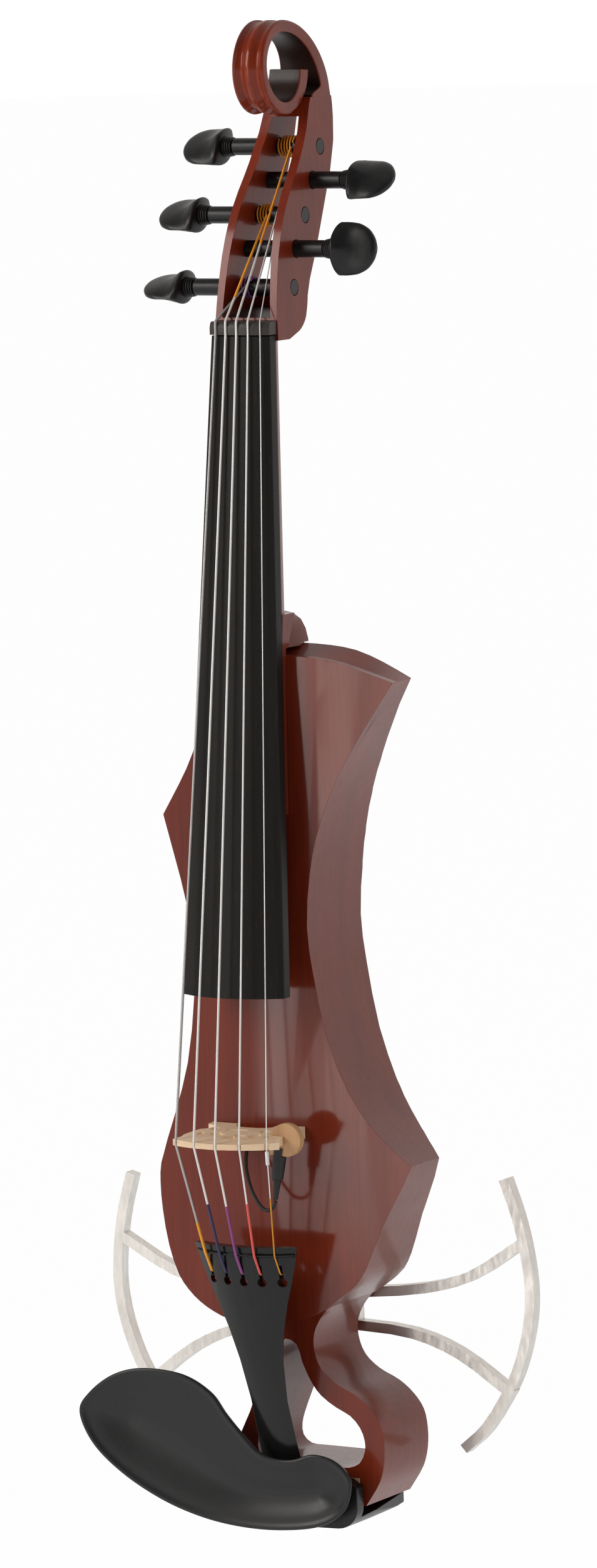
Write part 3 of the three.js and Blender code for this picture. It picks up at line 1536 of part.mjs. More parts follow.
function makeTailpiece() {
  const ring = (share) => {
    const centre = tailpieceAt(share);
    const halfWidth = tailpieceHalfWidth(share);
    const radius = tailpieceRadius(share);
    const edge = centre.y + sagitta(halfWidth, radius);
    const top = archPoints(halfWidth, edge, radius, centre.z, centre.x, 8);
    const inner = halfWidth - tailpiece.thickness / 2;
    const low = archPoints(inner, edge + tailpiece.thickness * 0.7, radius * 1.2, centre.z, centre.x, 6);
    return [...top, ...low.reverse()];
  };
  const plate = loft(tailpieceWidthShares.map(([share]) => ring(share)));
  // The raised fret that the strings bend over
  const fretShare = tailpiece.fretOffset / tailpiece.length;
  const fretRing = (share, rise) => {
    const centre = tailpieceAt(share);
    const halfWidth = tailpieceHalfWidth(share) - gap;
    const radius = tailpieceRadius(share);
    const edge = centre.y + sagitta(halfWidth, radius);
    const top = archPoints(halfWidth, edge - rise, radius, centre.z, centre.x, 8);
    const low = archPoints(halfWidth, edge + tailpiece.thickness / 3, radius, centre.z, centre.x, 6);
    return [...top, ...low.reverse()];
  };
  const halfFret = tailpiece.fretWidth / 2 / tailpiece.length;
  const fret = loft([
    fretRing(fretShare - halfFret, 0),
    fretRing(fretShare - halfFret / 3, tailpiece.fretRise),
    fretRing(fretShare + halfFret / 3, tailpiece.fretRise),
    fretRing(fretShare + halfFret, 0),
  ]);
  const keyholes = stringIndexes.map((i) => {
    const centre = tailpieceAt(slotShare);
    const x = centre.x + stringX(i, strings.slotPitch);
    const front = centre.y - overrun * 3;
    const back = centre.y + sagitta(tailpiece.halfWidth, tailpiece.archRadius) + overrun * 2;
    const hole = bar(
      "y",
      point(x, front, centre.z),
      point(0, back, 0),
      tailpiece.keyholeRadius,
      tailpiece.keyholeRadius,
      10,
    );
    const slot = block(
      x - tailpiece.slotHalfWidth,
      x + tailpiece.slotHalfWidth,
      front,
      back,
      centre.z,
      centre.z + tailpiece.slotLength,
    );
    return join(hole, slot);
  });
  const gutHoles = [-1, 1].map((side) => {
    const at = tailpieceAt(1);
    const x = at.x + (side * gut.strandSpacing) / 2;
    const y = gutStartDepth();
    return bar(
      "z",
      point(x, y, at.z - overrun),
      point(0, 0, at.z + gut.radius * 4),
      gut.radius + gap,
      gut.radius + gap,
      8,
    );
  });
  piece("tailpiece", cut(join(plate, fret), ...keyholes, ...gutHoles), finishes.blackPlastic);
}
const gutStartDepth = () => tailpieceAt(1).y + tailpiece.thickness / 2;

// The gut leaves the tailpiece, crosses the saddle, rounds the end button and comes back
function makeTailGut() {
  const start = tailpieceAt(1);
  const crest = tail.front - saddle.rise - gap - gut.radius;
  const under = tailBottom - gap - gut.radius;
  const around = endButton.neckRadius + gap + gut.radius;
  const strand = (side) => [
    point(start.x + (side * gut.strandSpacing) / 2, gutStartDepth(), start.z + gut.radius * 2),
    point(start.x + (side * gut.strandSpacing) / 2, gutStartDepth(), start.z),
    point(tailCentreX + side * around, crest, tailBottom + saddle.height * 0.5),
    point(tailCentreX + side * around, crest + gut.radius * 0.6, under + gut.radius * 0.9),
    point(tailCentreX + side * around, crest + gut.radius * 2.4, under - gut.radius * 0.1),
    point(tailCentreX + side * around, endButton.depth, under - gut.radius * 0.1),
  ];
  const turnSteps = 8;
  const round = Array.from({ length: turnSteps - 1 }, (_, i) => {
    const angle = Math.PI * (1 - (i + 1) / turnSteps);
    return point(
      tailCentreX + around * Math.cos(angle),
      endButton.depth + around * Math.sin(angle),
      under - gut.radius * 0.1,
    );
  });
  piece(
    "tail_gut",
    tube([...strand(-1), ...round, ...strand(1).reverse()], gut.radius, 8),
    finishes.blackPlastic,
  );
}

function makeSaddleAndButton() {
  const front = tail.front - saddle.rise;
  const back = tail.front + saddle.depth;
  const top = tailBottom + saddle.height;
  const round = saddle.rise;
  const outline = [
    new THREE.Vector2(back, tailBottom),
    new THREE.Vector2(back, top),
    new THREE.Vector2(tail.front, top),
    new THREE.Vector2(front, top - round),
    new THREE.Vector2(front, tailBottom + round),
    new THREE.Vector2(front + round / 2, tailBottom + round / 4),
    new THREE.Vector2(front + round * 1.5, tailBottom),
  ];
  piece(
    "tail_saddle",
    sidePrism(outline, tailCentreX - saddle.halfLength, tailCentreX + saddle.halfLength),
    finishes.ebony,
  );
  const neckEnd = endButton.neckLength;
  const profile = [
    [0, endButton.shankLength],
    [endButton.neckRadius * 0.8, endButton.shankLength],
    [endButton.neckRadius, 0],
    [endButton.neckRadius, -neckEnd],
    [endButton.headRadius, -neckEnd - endButton.headLength * 0.2],
    [endButton.headRadius, -neckEnd - endButton.headLength * 0.5],
    [endButton.headRadius * 0.7, -neckEnd - endButton.headLength * 0.9],
    [0, -neckEnd - endButton.headLength],
  ].map(([r, h]) => new THREE.Vector2(r, h));
  const turned = new THREE.LatheGeometry(profile.reverse(), 20).rotateX(Math.PI / 2);
  piece("end_button", solid(turned.translate(tailCentreX, endButton.depth, tailBottom)), finishes.ebony);
}

// Depth of the tailpiece's arched face, and where each string crosses its fret
function tailpieceFace(offset, share) {
  return tailpieceAt(share).y + sagitta(offset, tailpieceRadius(share));
}
function overFret(i) {
  const share = tailpiece.fretOffset / tailpiece.length;
  const offset = stringX(i, strings.slotPitch);
  const place = tailpieceAt(share);
  const clear = tailpiece.fretRise + gap + strings.radii[i];
  return point(place.x + offset, tailpieceFace(offset, share) - clear, place.z);
}

// Strings: nut, bridge, tailpiece fret, and down through the keyhole
function makeStrings(windingEnds) {
  pegRows.forEach((row) => {
    const i = row.string;
    const radius = strings.radii[i];
    const meet = windingEnds[row.name];
    const back = nutBack(i);
    const along = back.clone().sub(meet).normalize();
    const swept = Math.hypot(windingRadiusAt() + winding.radius, winding.endRun) + winding.clearance;
    const clear = Math.sqrt(swept ** 2 - (windingRadiusAt() - radius) ** 2) - winding.endRun;
    const start = meet.clone().add(along.multiplyScalar(clear));
    const over = overFret(i);
    const entryShare = (tailpiece.keyholeOffset - tailpiece.slotLength * 0.5) / tailpiece.length;
    const place = tailpieceAt(entryShare);
    const offset = stringX(i, strings.slotPitch);
    const entry = point(place.x + offset, tailpieceFace(offset, entryShare) + radius / 2, place.z);
    const through = entry.clone().setY(entry.y + tailpiece.thickness + gap * 2).setZ(entry.z - gap);
    const points = [start, back, nutPoint(i), bridgePoint(i), over, entry, through];
    piece(`string_${i + 1}`, tube(points, radius, 6), finishes.stringSteel);
  });
  const thin = strings.radii.length - 1;
  const from = bridgePoint(thin);
  const down = overFret(thin).sub(from).normalize();
  const begin = from.clone().add(down.clone().multiplyScalar(bridge.thicknessAtCrown / 2 + gap * 2));
  const end = begin.clone().add(down.clone().multiplyScalar(stringTube.length));
  const bore = strings.radii[thin] + gap / 2;
  const tubeWall = cut(
    tube([begin, end], stringTube.outerRadius, 12),
    tube([from, end.clone().add(down.clone().multiplyScalar(overrun))], bore, 8),
  );
  piece("string_tube", tubeWall, finishes.whitePlastic);
}

// Chin rest: outline as [share of the width from the left, share of the height from the top]
const chinRestShares = [
  [0.002, 0.306],
  [0.041, 0.175],
  [0.132, 0.051],
  [0.244, 0],
  [0.389, 0.026],
  [0.492, 0.131],
  [0.548, 0.265],
  [0.605, 0.388],
  [0.661, 0.491],
  [0.719, 0.534],
  [0.785, 0.535],
  [0.858, 0.495],
  [0.93, 0.52],
  [0.98, 0.591],
  [0.999, 0.68],
  [0.97, 0.85],
  [0.88, 0.955],
  [0.741, 0.994],
  [0.595, 0.989],
  [0.449, 0.942],
  [0.302, 0.845],
  [0.158, 0.691],
  [0.05, 0.508],
];

function chinRestPlane(made) {
  return made.rotate([0, 0, chinRest.tiltDegrees]).translate([0, chinRest.frontAtCentre, 0]);
}

function makeChinRest() {
  const rows = chinRestShares.map(([across, down]) => [
    chinRest.left + across * chinRest.width,
    chinRest.top - down * chinRest.height,
  ]);
  const centreX = chinRest.left + chinRest.width / 2;
  const centreZ = chinRest.top - chinRest.height * 0.52;
  const ring = (y, inset) =>
    smoothLoop(rows, 2).map((p) =>
      point(
        centreX + (p.x - centreX) * (1 - (2 * inset) / chinRest.width),
        y,
        centreZ + (p.y - centreZ) * (1 - (2 * inset) / chinRest.height),
      ),
    );
  const blank = loft([
    ring(0, chinRest.edgeRound),
    ring(chinRest.edgeRound, 0),
    ring(chinRest.edgeRound * 2, 0),
    ring(chinRest.thickness, chinRest.backInset),
  ]);
  const ball = new THREE.SphereGeometry(chinRest.dishRadius, 52, 34);
  ball.translate(chinRest.dishCentreShiftX, chinRest.dishDepth - chinRest.dishRadius, centreZ);
  const dish = common(
    solid(ball),
    block(chinRest.left * 2, -chinRest.left * 2, -overrun, chinRest.thickness, chinRest.top * 1.5, 0),
  );
  piece("chin_rest_plate", chinRestPlane(cut(blank, dish)), finishes.satinBlack);
  // The strap: a leg under the plate and a web under the tail block, in one
  const woodFront = tail.front;
  const legBack = woodFront - gap - strap.cork - gap;
  const webTop = tailBottom - gap;
  const webBottom = webTop - strap.webThickness;
  const corner = strap.cornerRadius;
  const plan = [
    new THREE.Vector2(strap.left, strap.legTop),
    new THREE.Vector2(strap.left, webBottom),
    new THREE.Vector2(strap.right - corner, webBottom),
    ...Array.from({ length: 7 }, (_, i) => {
      const angle = (Math.PI / 2) * ((i + 1) / 7);
      return new THREE.Vector2(
        strap.right - corner + corner * Math.sin(angle),
        webBottom + corner - corner * Math.cos(angle),
      );
    }),
    new THREE.Vector2(strap.right, strap.legTop - strap.cornerRadius / 3),
    new THREE.Vector2(strap.right - strap.cornerRadius / 2, strap.legTop),
  ];
  const front = chinRest.frontAtCentre;
  // Seen from below the web narrows towards the back, and seen from the side it follows the tail
  const fromBelow = topPrism(
    [
      new THREE.Vector2(strap.left, front),
      new THREE.Vector2(strap.right, front),
      new THREE.Vector2(strap.right, tail.front),
      new THREE.Vector2(strap.rightAtBack, strap.webEndDepth),
      new THREE.Vector2(strap.left, strap.webEndDepth),
    ],
    webBottom - overrun,
    strap.legTop + overrun,
  );
  const rise = tail.backRise;
  const fromSide = sidePrism(
    [
      new THREE.Vector2(front, webBottom),
      new THREE.Vector2(tail.front, webBottom),
      new THREE.Vector2(strap.webEndDepth, webTop + rise - strap.webThicknessAtBack),
      new THREE.Vector2(strap.webEndDepth, webTop + rise),
      new THREE.Vector2(tail.back, webTop + rise),
      new THREE.Vector2(tail.front, webTop),
      new THREE.Vector2(legBack, webTop),
      new THREE.Vector2(legBack, strap.legTop + overrun),
      new THREE.Vector2(front, strap.legTop + overrun),
    ],
    strap.left - overrun,
    strap.right + overrun,
  );
  const hook = common(frontPrism(plan, front, strap.webEndDepth), fromBelow, fromSide);
  const underPlate = chinRestPlane(
    block(
      chinRest.left,
      chinRest.width,
      -chinRest.thickness * 3,
      chinRest.thickness + gap,
      chinRest.top * 1.5,
      0,
    ),
  );
  const screwHole = bar(
    "y",
    point(clampX, strap.webEndDepth - clampScrew.shankLength, clampZ),
    point(0, strap.webEndDepth + overrun, 0),
    clampScrew.radius + gap,
    clampScrew.radius + gap,
    12,
  );
  piece("chin_rest_strap", cut(hook, underPlate, screwHole), finishes.blackPlastic);
  const corkInset = strap.cornerRadius / 4;
  const corkBlock = block(
    strap.left,
    strap.right - corkInset,
    legBack + gap,
    woodFront - gap,
    tailBottom + gap,
    strap.legTop - gap,
  );
  piece("chin_rest_cork", corkBlock, finishes.cork);
}

const clampX = (strap.left + strap.rightAtBack) / 2;
const clampZ = tailBottom - gap + tail.backRise - strap.webThicknessAtBack / 2;

function makeClamp() {
  const corkFront = tail.back + gap;
  const jawFront = corkFront + jaw.cork + gap;
  const behindWeb = strap.webEndDepth + gap;
  const jawBack = behindWeb + jaw.thickness;
  const jawRight = strap.rightAtBack - gap;
  const bottom = clampZ - strap.webThicknessAtBack / 2;
  const tongueTop = clampZ + strap.webThicknessAtBack / 2 + gap;
  const upper = frontPrism(
    [
      new THREE.Vector2(strap.left, tongueTop),
      new THREE.Vector2(jawRight, tongueTop),
      new THREE.Vector2(jawRight, tongueTop + jaw.wedge),
      new THREE.Vector2(jawRight - jaw.wedge, jaw.top),
      new THREE.Vector2(strap.left + jaw.wedge, jaw.top),
      new THREE.Vector2(strap.left, jaw.top - jaw.wedge),
    ],
    jawFront,
    jawBack,
  );
  const lower = block(
    strap.left + jaw.wedge,
    jawRight - jaw.wedge,
    behindWeb,
    jawBack,
    bottom,
    tongueTop + gap,
  );
  const hole = bar(
    "y",
    point(clampX, behindWeb - overrun, clampZ),
    point(0, jawBack + overrun, 0),
    clampScrew.radius + gap,
    clampScrew.radius + gap,
    12,
  );
  piece("clamp_jaw", cut(join(upper, lower), hole), finishes.blackPlastic);
  const cork = block(
    strap.left + jaw.wedge,
    jawRight - jaw.wedge,
    corkFront,
    corkFront + jaw.cork,
    tongueTop + gap,
    jaw.top - jaw.wedge,
  );
  piece("jaw_cork", cork, finishes.cork);
  const headFront = jawBack + gap;
  const shank = bar(
    "y",
    point(clampX, strap.webEndDepth - clampScrew.shankLength + jaw.travel / 2, clampZ),
    point(0, headFront + overrun / 3, 0),
    clampScrew.radius,
    clampScrew.radius,
    12,
  );
  const head = bar(
    "y",
    point(clampX, headFront, clampZ),
    point(0, headFront + clampScrew.headLength, 0),
    clampScrew.headRadius,
  );
  const slot = block(
    clampX - clampScrew.headRadius * 2,
    clampX + clampScrew.headRadius * 2,
    headFront + clampScrew.headLength / 2,
    headFront + clampScrew.headLength * 2,
    clampZ - clampScrew.slotWidth / 2,
    clampZ + clampScrew.slotWidth / 2,
  );
  piece("clamp_screw", cut(join(shank, head), slot), finishes.steel);
}

// Metal frame: half of it as centre lines, [share of the reach, share of the height below its top]
const arcShares = [
  [0.882, 0],
  [0.93, 0.133],
  [0.956, 0.24],
  [0.974, 0.389],
  [0.963, 0.51],
  [0.925, 0.637],
  [0.868, 0.752],
  [0.735, 0.92],
  [0.626, 1],
];
const upperSpokeShares = [
  [0.1, 0.432],
  [0.487, 0.408],
  [0.7, 0.361],
  [0.95, 0.234],
];
const lowerSpokeShares = [
  [0.1, 0.546],
  [0.42, 0.578],
  [0.63, 0.65],
  [0.865, 0.795],
];
const frameScrewXs = [-1, 1].map((side) => frame.screwShift + (side * frame.screwSpacing) / 2);
const frameCentreZ = (frame.hubTop + frame.hubBottom) / 2;
const frameScrewZ = () => frameCentreZ + frame.barWidth / 3;
const frameScrewTip = frame.front + frame.depth - frame.screwLength;

// A flat bar of even width along a smooth line
function flatBar(rows, width) {
  const line = new THREE.CatmullRomCurve3(rows.map(([x, z]) => point(x, 0, z)), false, "centripetal");
  const steps = (rows.length - 1) * 3;
  const left = [];
  const right = [];
  for (let i = 0; i <= steps; i++) {
    const at = line.getPoint(i / steps);
    const along = line.getTangent(i / steps);
    const across = new THREE.Vector2(-along.z, along.x).multiplyScalar(width / 2);
    left.push(new THREE.Vector2(at.x + across.x, at.z + across.y));
    right.push(new THREE.Vector2(at.x - across.x, at.z - across.y));
  }
  return frontPrism([...left, ...right.reverse()], frame.front, frame.front + frame.depth);
}

function makeFrame() {
  const rowsOf = (shares, side) =>
    shares.map(([across, down]) => [side * across * frame.reach, frame.top - down * frame.height]);
  const bars = [-1, 1].flatMap((side) =>
    [
      arcShares,
      upperSpokeShares,
      lowerSpokeShares,
    ].map((shares) => flatBar(rowsOf(shares, side), frame.barWidth)),
  );
  const hub = block(
    -frame.hubHalfWidth,
    frame.hubHalfWidth,
    frame.front,
    frame.front + frame.depth,
    frame.hubBottom,
    frame.hubTop,
  );
  const metal = join(bars[0], ...bars.slice(1), hub);
  const centre = point(0, 0, frameCentreZ);
  const turned = metal
    .translate([0, 0, -centre.z])
    .rotate([0, -frame.turnDegrees, 0])
    .translate([frame.shiftX, 0, centre.z]);
  const padInset = frame.barWidth / 2;
  const pad = block(
    frame.screwShift - frame.padHalfWidth,
    frame.screwShift + frame.padHalfWidth,
    tail.back + gap,
    frame.front + frame.depth / 2,
    frame.hubBottom + padInset * 2.4,
    frame.hubTop - padInset,
  );
  const holes = frameScrewXs.map((x) => {
    const z = frameScrewZ(x);
    const back = frame.front + frame.depth;
    return join(
      bar(
        "y",
        point(x, tail.back - overrun, z),
        point(0, back + overrun, 0),
        frame.screwRadius + gap,
        frame.screwRadius + gap,
        12,
      ),
      bar(
        "y",
        point(x, back - frame.screwHeadLength - gap, z),
        point(0, back + overrun, 0),
        frame.screwHeadRadius + gap,
      ),
    );
  });
  piece("shoulder_frame", cut(join(turned, pad), ...holes), finishes.steel);
  frameScrewXs.forEach((x, i) => {
    const z = frameScrewZ(x);
    const back = frame.front + frame.depth;
    const headFront = back - frame.screwHeadLength;
    const shank = bar(
      "y",
      point(x, frameScrewTip, z),
      point(0, headFront + frame.screwHeadLength / 3, 0),
      frame.screwRadius,
      frame.screwRadius,
      12,
    );
    const head = bar("y", point(x, headFront, z), point(0, back, 0), frame.screwHeadRadius);
    const slot = block(
      x - frame.screwHeadRadius * 2,
      x + frame.screwHeadRadius * 2,
      back - frame.screwHeadLength / 2,
      back + overrun,
      z - frame.screwRadius / 4,
      z + frame.screwRadius / 4,
    );
    piece(`frame_screw_${i + 1}`, cut(join(shank, head), slot), finishes.steel);
  });
}

// Back cover, electronics and output jack
const coverScrewHeights = [cavity.top + cavity.rebate / 2, cavity.bottom - cavity.rebate / 2];
const potXs = [-pot.offset, pot.offset];

function makeElectronics() {
  const coverFront = body.back - cavity.coverThickness;
  const coverHalf = cavity.halfWidth + cavity.rebate;
  const plate = block(
    -coverHalf,
    coverHalf,
    coverFront,
    body.back,
    cavity.bottom - cavity.rebate,
    cavity.top + cavity.rebate,
  );
  const potHoles = potXs.map((x) => bar(
    "y",
    point(x, coverFront - overrun, pot.height),
    point(0, body.back + overrun, 0),
    pot.bushRadius + gap,
    pot.bushRadius + gap,
    16,
  ));
  const screwHoles = coverScrewHeights.map((z) =>
    join(
      bar(
        "y",
        point(0, coverFront - overrun, z),
        point(0, body.back + overrun, 0),
        coverScrew.radius + gap,
        coverScrew.radius + gap,
        12,
      ),
      bar(
        "y",
        point(0, body.back - coverScrew.headLength - gap, z),
        point(0, body.back + overrun, 0),
        coverScrew.headRadius + gap,
        coverScrew.headRadius + gap,
        12,
      ),
    ),
  );
  piece("back_cover", cut(plate, ...potHoles, ...screwHoles), finishes.satinBlack);
  coverScrewHeights.forEach((z, i) => {
    const shank = bar(
      "y",
      point(0, body.back - coverScrew.length, z),
      point(0, body.back - coverScrew.headLength / 2, 0),
      coverScrew.radius,
      coverScrew.radius,
      10,
    );
    const head = bar(
      "y",
      point(0, body.back - coverScrew.headLength, z),
      point(0, body.back, 0),
      coverScrew.headRadius,
      coverScrew.headRadius,
      14,
    );
    piece(`cover_screw_${i + 1}`, join(shank, head), finishes.steel);
  });
  const potNames = ["volume", "tone"];
  potXs.forEach((x, i) => {
    const canBack = coverFront - gap;
    const canFront = canBack - pot.length;
    const spindleEnd = body.back + knob.length * 0.45;
    const can = join(
      bar("y", point(x, canFront, pot.height), point(0, canBack, 0), pot.radius, pot.radius, 18),
      bar(
        "y",
        point(x, canBack - gap, pot.height),
        point(0, body.back + gap, 0),
        pot.bushRadius,
        pot.bushRadius,
        14,
      ),
    );
    const spindleHole = bar(
      "y",
      point(x, canFront + pot.length / 2, pot.height),
      point(0, body.back + overrun, 0),
      pot.bushRadius / 2 + turningClearance,
      pot.bushRadius / 2 + turningClearance,
      12,
    );
    piece(`${potNames[i]}_potentiometer`, cut(can, spindleHole), finishes.nickel);
    const spindle = bar(
      "y",
      point(x, canFront + pot.length / 2 + gap, pot.height),
      point(0, spindleEnd, 0),
      pot.bushRadius / 2,
      pot.bushRadius / 2,
      12,
    );
    const skirtFront = body.back + gap * 2;
    const shell = cut(
      bar(
        "y",
        point(x, skirtFront, pot.height),
        point(0, skirtFront + knob.length, 0),
        knob.radius,
        knob.topRadius,
        28,
      ),
      block(
        x - knob.pointerWidth / 2,
        x + knob.pointerWidth / 2,
        skirtFront + knob.length - knob.pointerDepth,
        skirtFront + knob.length * 2,
        pot.height + knob.topRadius * 0.2,
        pot.height + knob.radius * 2,
      ),
    );
    piece(`${potNames[i]}_knob`, join(shell, spindle), finishes.blackPlastic);
  });
  const floor = cavity.floor + gap;
  piece(
    "circuit_board",
    block(
      -circuit.width / 2,
      circuit.width / 2,
      floor,
      floor + circuit.thickness,
      circuit.top - circuit.length,
      circuit.top,
    ),
    finishes.circuitGreen,
  );
  const cell = block(
    -board9v.width / 2,
    board9v.width / 2,
    floor,
    floor + board9v.thickness,
    board9v.top - board9v.length,
    board9v.top,
  );
  const terminals = [-1, 1].map((side) =>
    bar(
      "z",
      point((side * board9v.width) / 4, floor + board9v.thickness / 2, board9v.top - gap),
      point(0, 0, board9v.top + board9v.terminalLength),
      board9v.terminalRadius,
      board9v.terminalRadius,
      12,
    ),
  );
  piece("battery", join(cell, ...terminals), finishes.nickel);
  const at = (x) => point(x, jack.depth, jack.height);
  const barrel = join(
    bar("x", at(jack.wall), at(jack.wall + jack.flangeThickness), jack.flangeRadius, jack.flangeRadius, 28),
    bar("x", at(jack.wall + gap), at(jack.wall + jack.barrelLength), jack.barrelRadius),
  );
  const bore = bar(
    "x",
    at(jack.wall - overrun),
    at(jack.wall + jack.boreLength),
    jack.boreRadius,
    jack.boreRadius,
    18,
  );
  piece("output_jack", cut(barrel, bore), finishes.nickel);
}

// Assembly
makeFingerboard();
makeNut();
makeNeck();
makePegboxAndScroll(pegRows);
pegRows.forEach(makePeg);
const windingEnds = Object.fromEntries(pegRows.map((row) => [row.name, makeWinding(row)]));
makeStrings(windingEnds);
makeTopPlate();
makeBodyCore();
makeTailLoop();
makeBridge();
makePickup();
makeTailpiece();
makeTailGut();
makeSaddleAndButton();
makeChinRest();
makeClamp();
makeFrame();
makeElectronics();

// The origin is where the instrument hangs: the top of the scroll's eye
violin.position.set(0, -scroll.eyeDepth, -(scroll.eyeHeight + scroll.innerRadius));

export default violin;
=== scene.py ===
"""Dressing of a five-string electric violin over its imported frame, seen from the photograph's side."""
import json
import logging
import math
from collections.abc import Callable
from dataclasses import dataclass, field
from enum import Enum

import bmesh
import bpy
from mathutils import Matrix, Vector

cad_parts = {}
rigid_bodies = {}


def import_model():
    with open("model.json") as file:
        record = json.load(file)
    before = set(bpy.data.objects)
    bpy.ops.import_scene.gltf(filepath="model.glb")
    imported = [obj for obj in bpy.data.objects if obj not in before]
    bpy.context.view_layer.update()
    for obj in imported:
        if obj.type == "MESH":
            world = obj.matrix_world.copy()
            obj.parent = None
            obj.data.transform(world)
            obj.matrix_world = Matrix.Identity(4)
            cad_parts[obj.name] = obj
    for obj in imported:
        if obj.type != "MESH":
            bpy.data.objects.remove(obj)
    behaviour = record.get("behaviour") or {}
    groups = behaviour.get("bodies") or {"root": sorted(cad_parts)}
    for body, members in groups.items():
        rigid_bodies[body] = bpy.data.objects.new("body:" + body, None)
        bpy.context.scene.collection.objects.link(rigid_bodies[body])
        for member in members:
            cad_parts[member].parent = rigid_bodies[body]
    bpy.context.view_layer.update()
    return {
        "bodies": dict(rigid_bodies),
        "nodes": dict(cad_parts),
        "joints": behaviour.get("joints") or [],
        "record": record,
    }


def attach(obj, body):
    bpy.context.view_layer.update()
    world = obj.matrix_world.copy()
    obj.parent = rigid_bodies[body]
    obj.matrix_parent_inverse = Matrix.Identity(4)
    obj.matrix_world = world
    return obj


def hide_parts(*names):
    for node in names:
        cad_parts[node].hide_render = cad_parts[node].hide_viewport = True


logging.basicConfig(level=logging.INFO, format="%(levelname)s %(message)s")
LOG = logging.getLogger("violin")

Colour = tuple[float, float, float]
Point = tuple[float, float, float]
MM = 0.001
# The working frame of the measurements has its zero at the nut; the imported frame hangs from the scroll's eye.
ORIGIN = Vector((0.0, -0.034, -0.1215))


def place(x: float, y: float, z: float) -> Vector:
    """A point given in millimetres from the nut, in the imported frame.

    Args:
        x: towards the thinnest string.
        y: towards the back.
        z: towards the scroll.

    Returns:
        The point in metres.
    """
    return Vector((x, y, z)) * MM + ORIGIN


class Along(Enum):
    """The way a grain or a brushing runs."""

    X = (1.0, 0.06, 1.0)
    Y = (1.0, 1.0, 0.06)
    LENGTH = (1.0, 1.0, 0.06)


# ---------------------------------------------------------------- shader work


@dataclass
class Bench:
    """A node tree with short calls for adding and joining nodes.

    Attributes:
        tree: the tree that is worked on.
    """

    tree: bpy.types.NodeTree

    def add(self, kind: str, **settings: object) -> bpy.types.Node:
        """Adds a node.

        Args:
            kind: the node's type name.
            settings: attributes of the node, or socket values by lower-case socket name.

        Returns:
            The node.
        """
        node = self.tree.nodes.new(kind)
        for key, value in settings.items():
            wanted = key.replace("_", " ").lower()
            socket = next((s for s in node.inputs if s.name.lower() == wanted), None)
            if socket is None:
                setattr(node, key, value)
            else:
                socket.default_value = value
        return node

    def join(self, source: bpy.types.NodeSocket, target: bpy.types.NodeSocket) -> None:
        """Joins an output to an input."""
        self.tree.links.new(source, target)

    def maths(self, operation: str, a: object, b: object = 0.0) -> bpy.types.NodeSocket:
        """A sum of two values or sockets.

        Args:
            operation: the name of the sum.
            a: first value or socket.
            b: second value or socket.

        Returns:
            The result's socket.
        """
        node = self.tree.nodes.new("ShaderNodeMath")
        node.operation = operation
        for socket, value in zip(node.inputs, (a, b)):
            if isinstance(value, bpy.types.NodeSocket):
                self.join(value, socket)
            else:
                socket.default_value = value
        return node.outputs[0]

    def blend(self, factor: object, a: object, b: object) -> bpy.types.NodeSocket:
        """Mixes two colours.

        Args:
            factor: share of the second colour, a value or a socket.
            a: first colour or socket.
            b: second colour or socket.

        Returns:
            The mixed colour's socket.
        """
        node = self.tree.nodes.new("ShaderNodeMix")
        node.data_type = "RGBA"
        for socket, value in zip((node.inputs[0], node.inputs[6], node.inputs[7]), (factor, a, b)):
            if isinstance(value, bpy.types.NodeSocket):
                self.join(value, socket)
            elif isinstance(value, tuple):
                socket.default_value = (*value, 1.0)
            else:
                socket.default_value = value
        return node.outputs[2]

    def steps(self, source: bpy.types.NodeSocket, low: float, high: float) -> bpy.types.NodeSocket:
        """Stretches a mask between two levels.

        Args:
            source: the mask.
            low: level that becomes 0.
            high: level that becomes 1.

        Returns:
            The stretched mask's socket.
        """
        node = self.tree.nodes.new("ShaderNodeMapRange")
        node.inputs["From Min"].default_value = low
        node.inputs["From Max"].default_value = high
        self.join(source, node.inputs["Value"])
        return node.outputs[0]


def new_group(name: str, inputs: list[tuple[str, str, object]], outputs: list[tuple[str, str]]) -> Bench:
    """An empty node group with its sockets.

    Args:
        name: the group's name.
        inputs: name, socket type and default value of each input.
        outputs: name and socket type of each output.

    Returns:
        A bench on the group.
    """
    tree = bpy.data.node_groups.new(name, "ShaderNodeTree")
    for label, kind, value in inputs:
        socket = tree.interface.new_socket(name=label, in_out="INPUT", socket_type=kind)
        if value is not None:
            socket.default_value = value
    for label, kind in outputs:
        tree.interface.new_socket(name=label, in_out="OUTPUT", socket_type=kind)
    return Bench(tree)


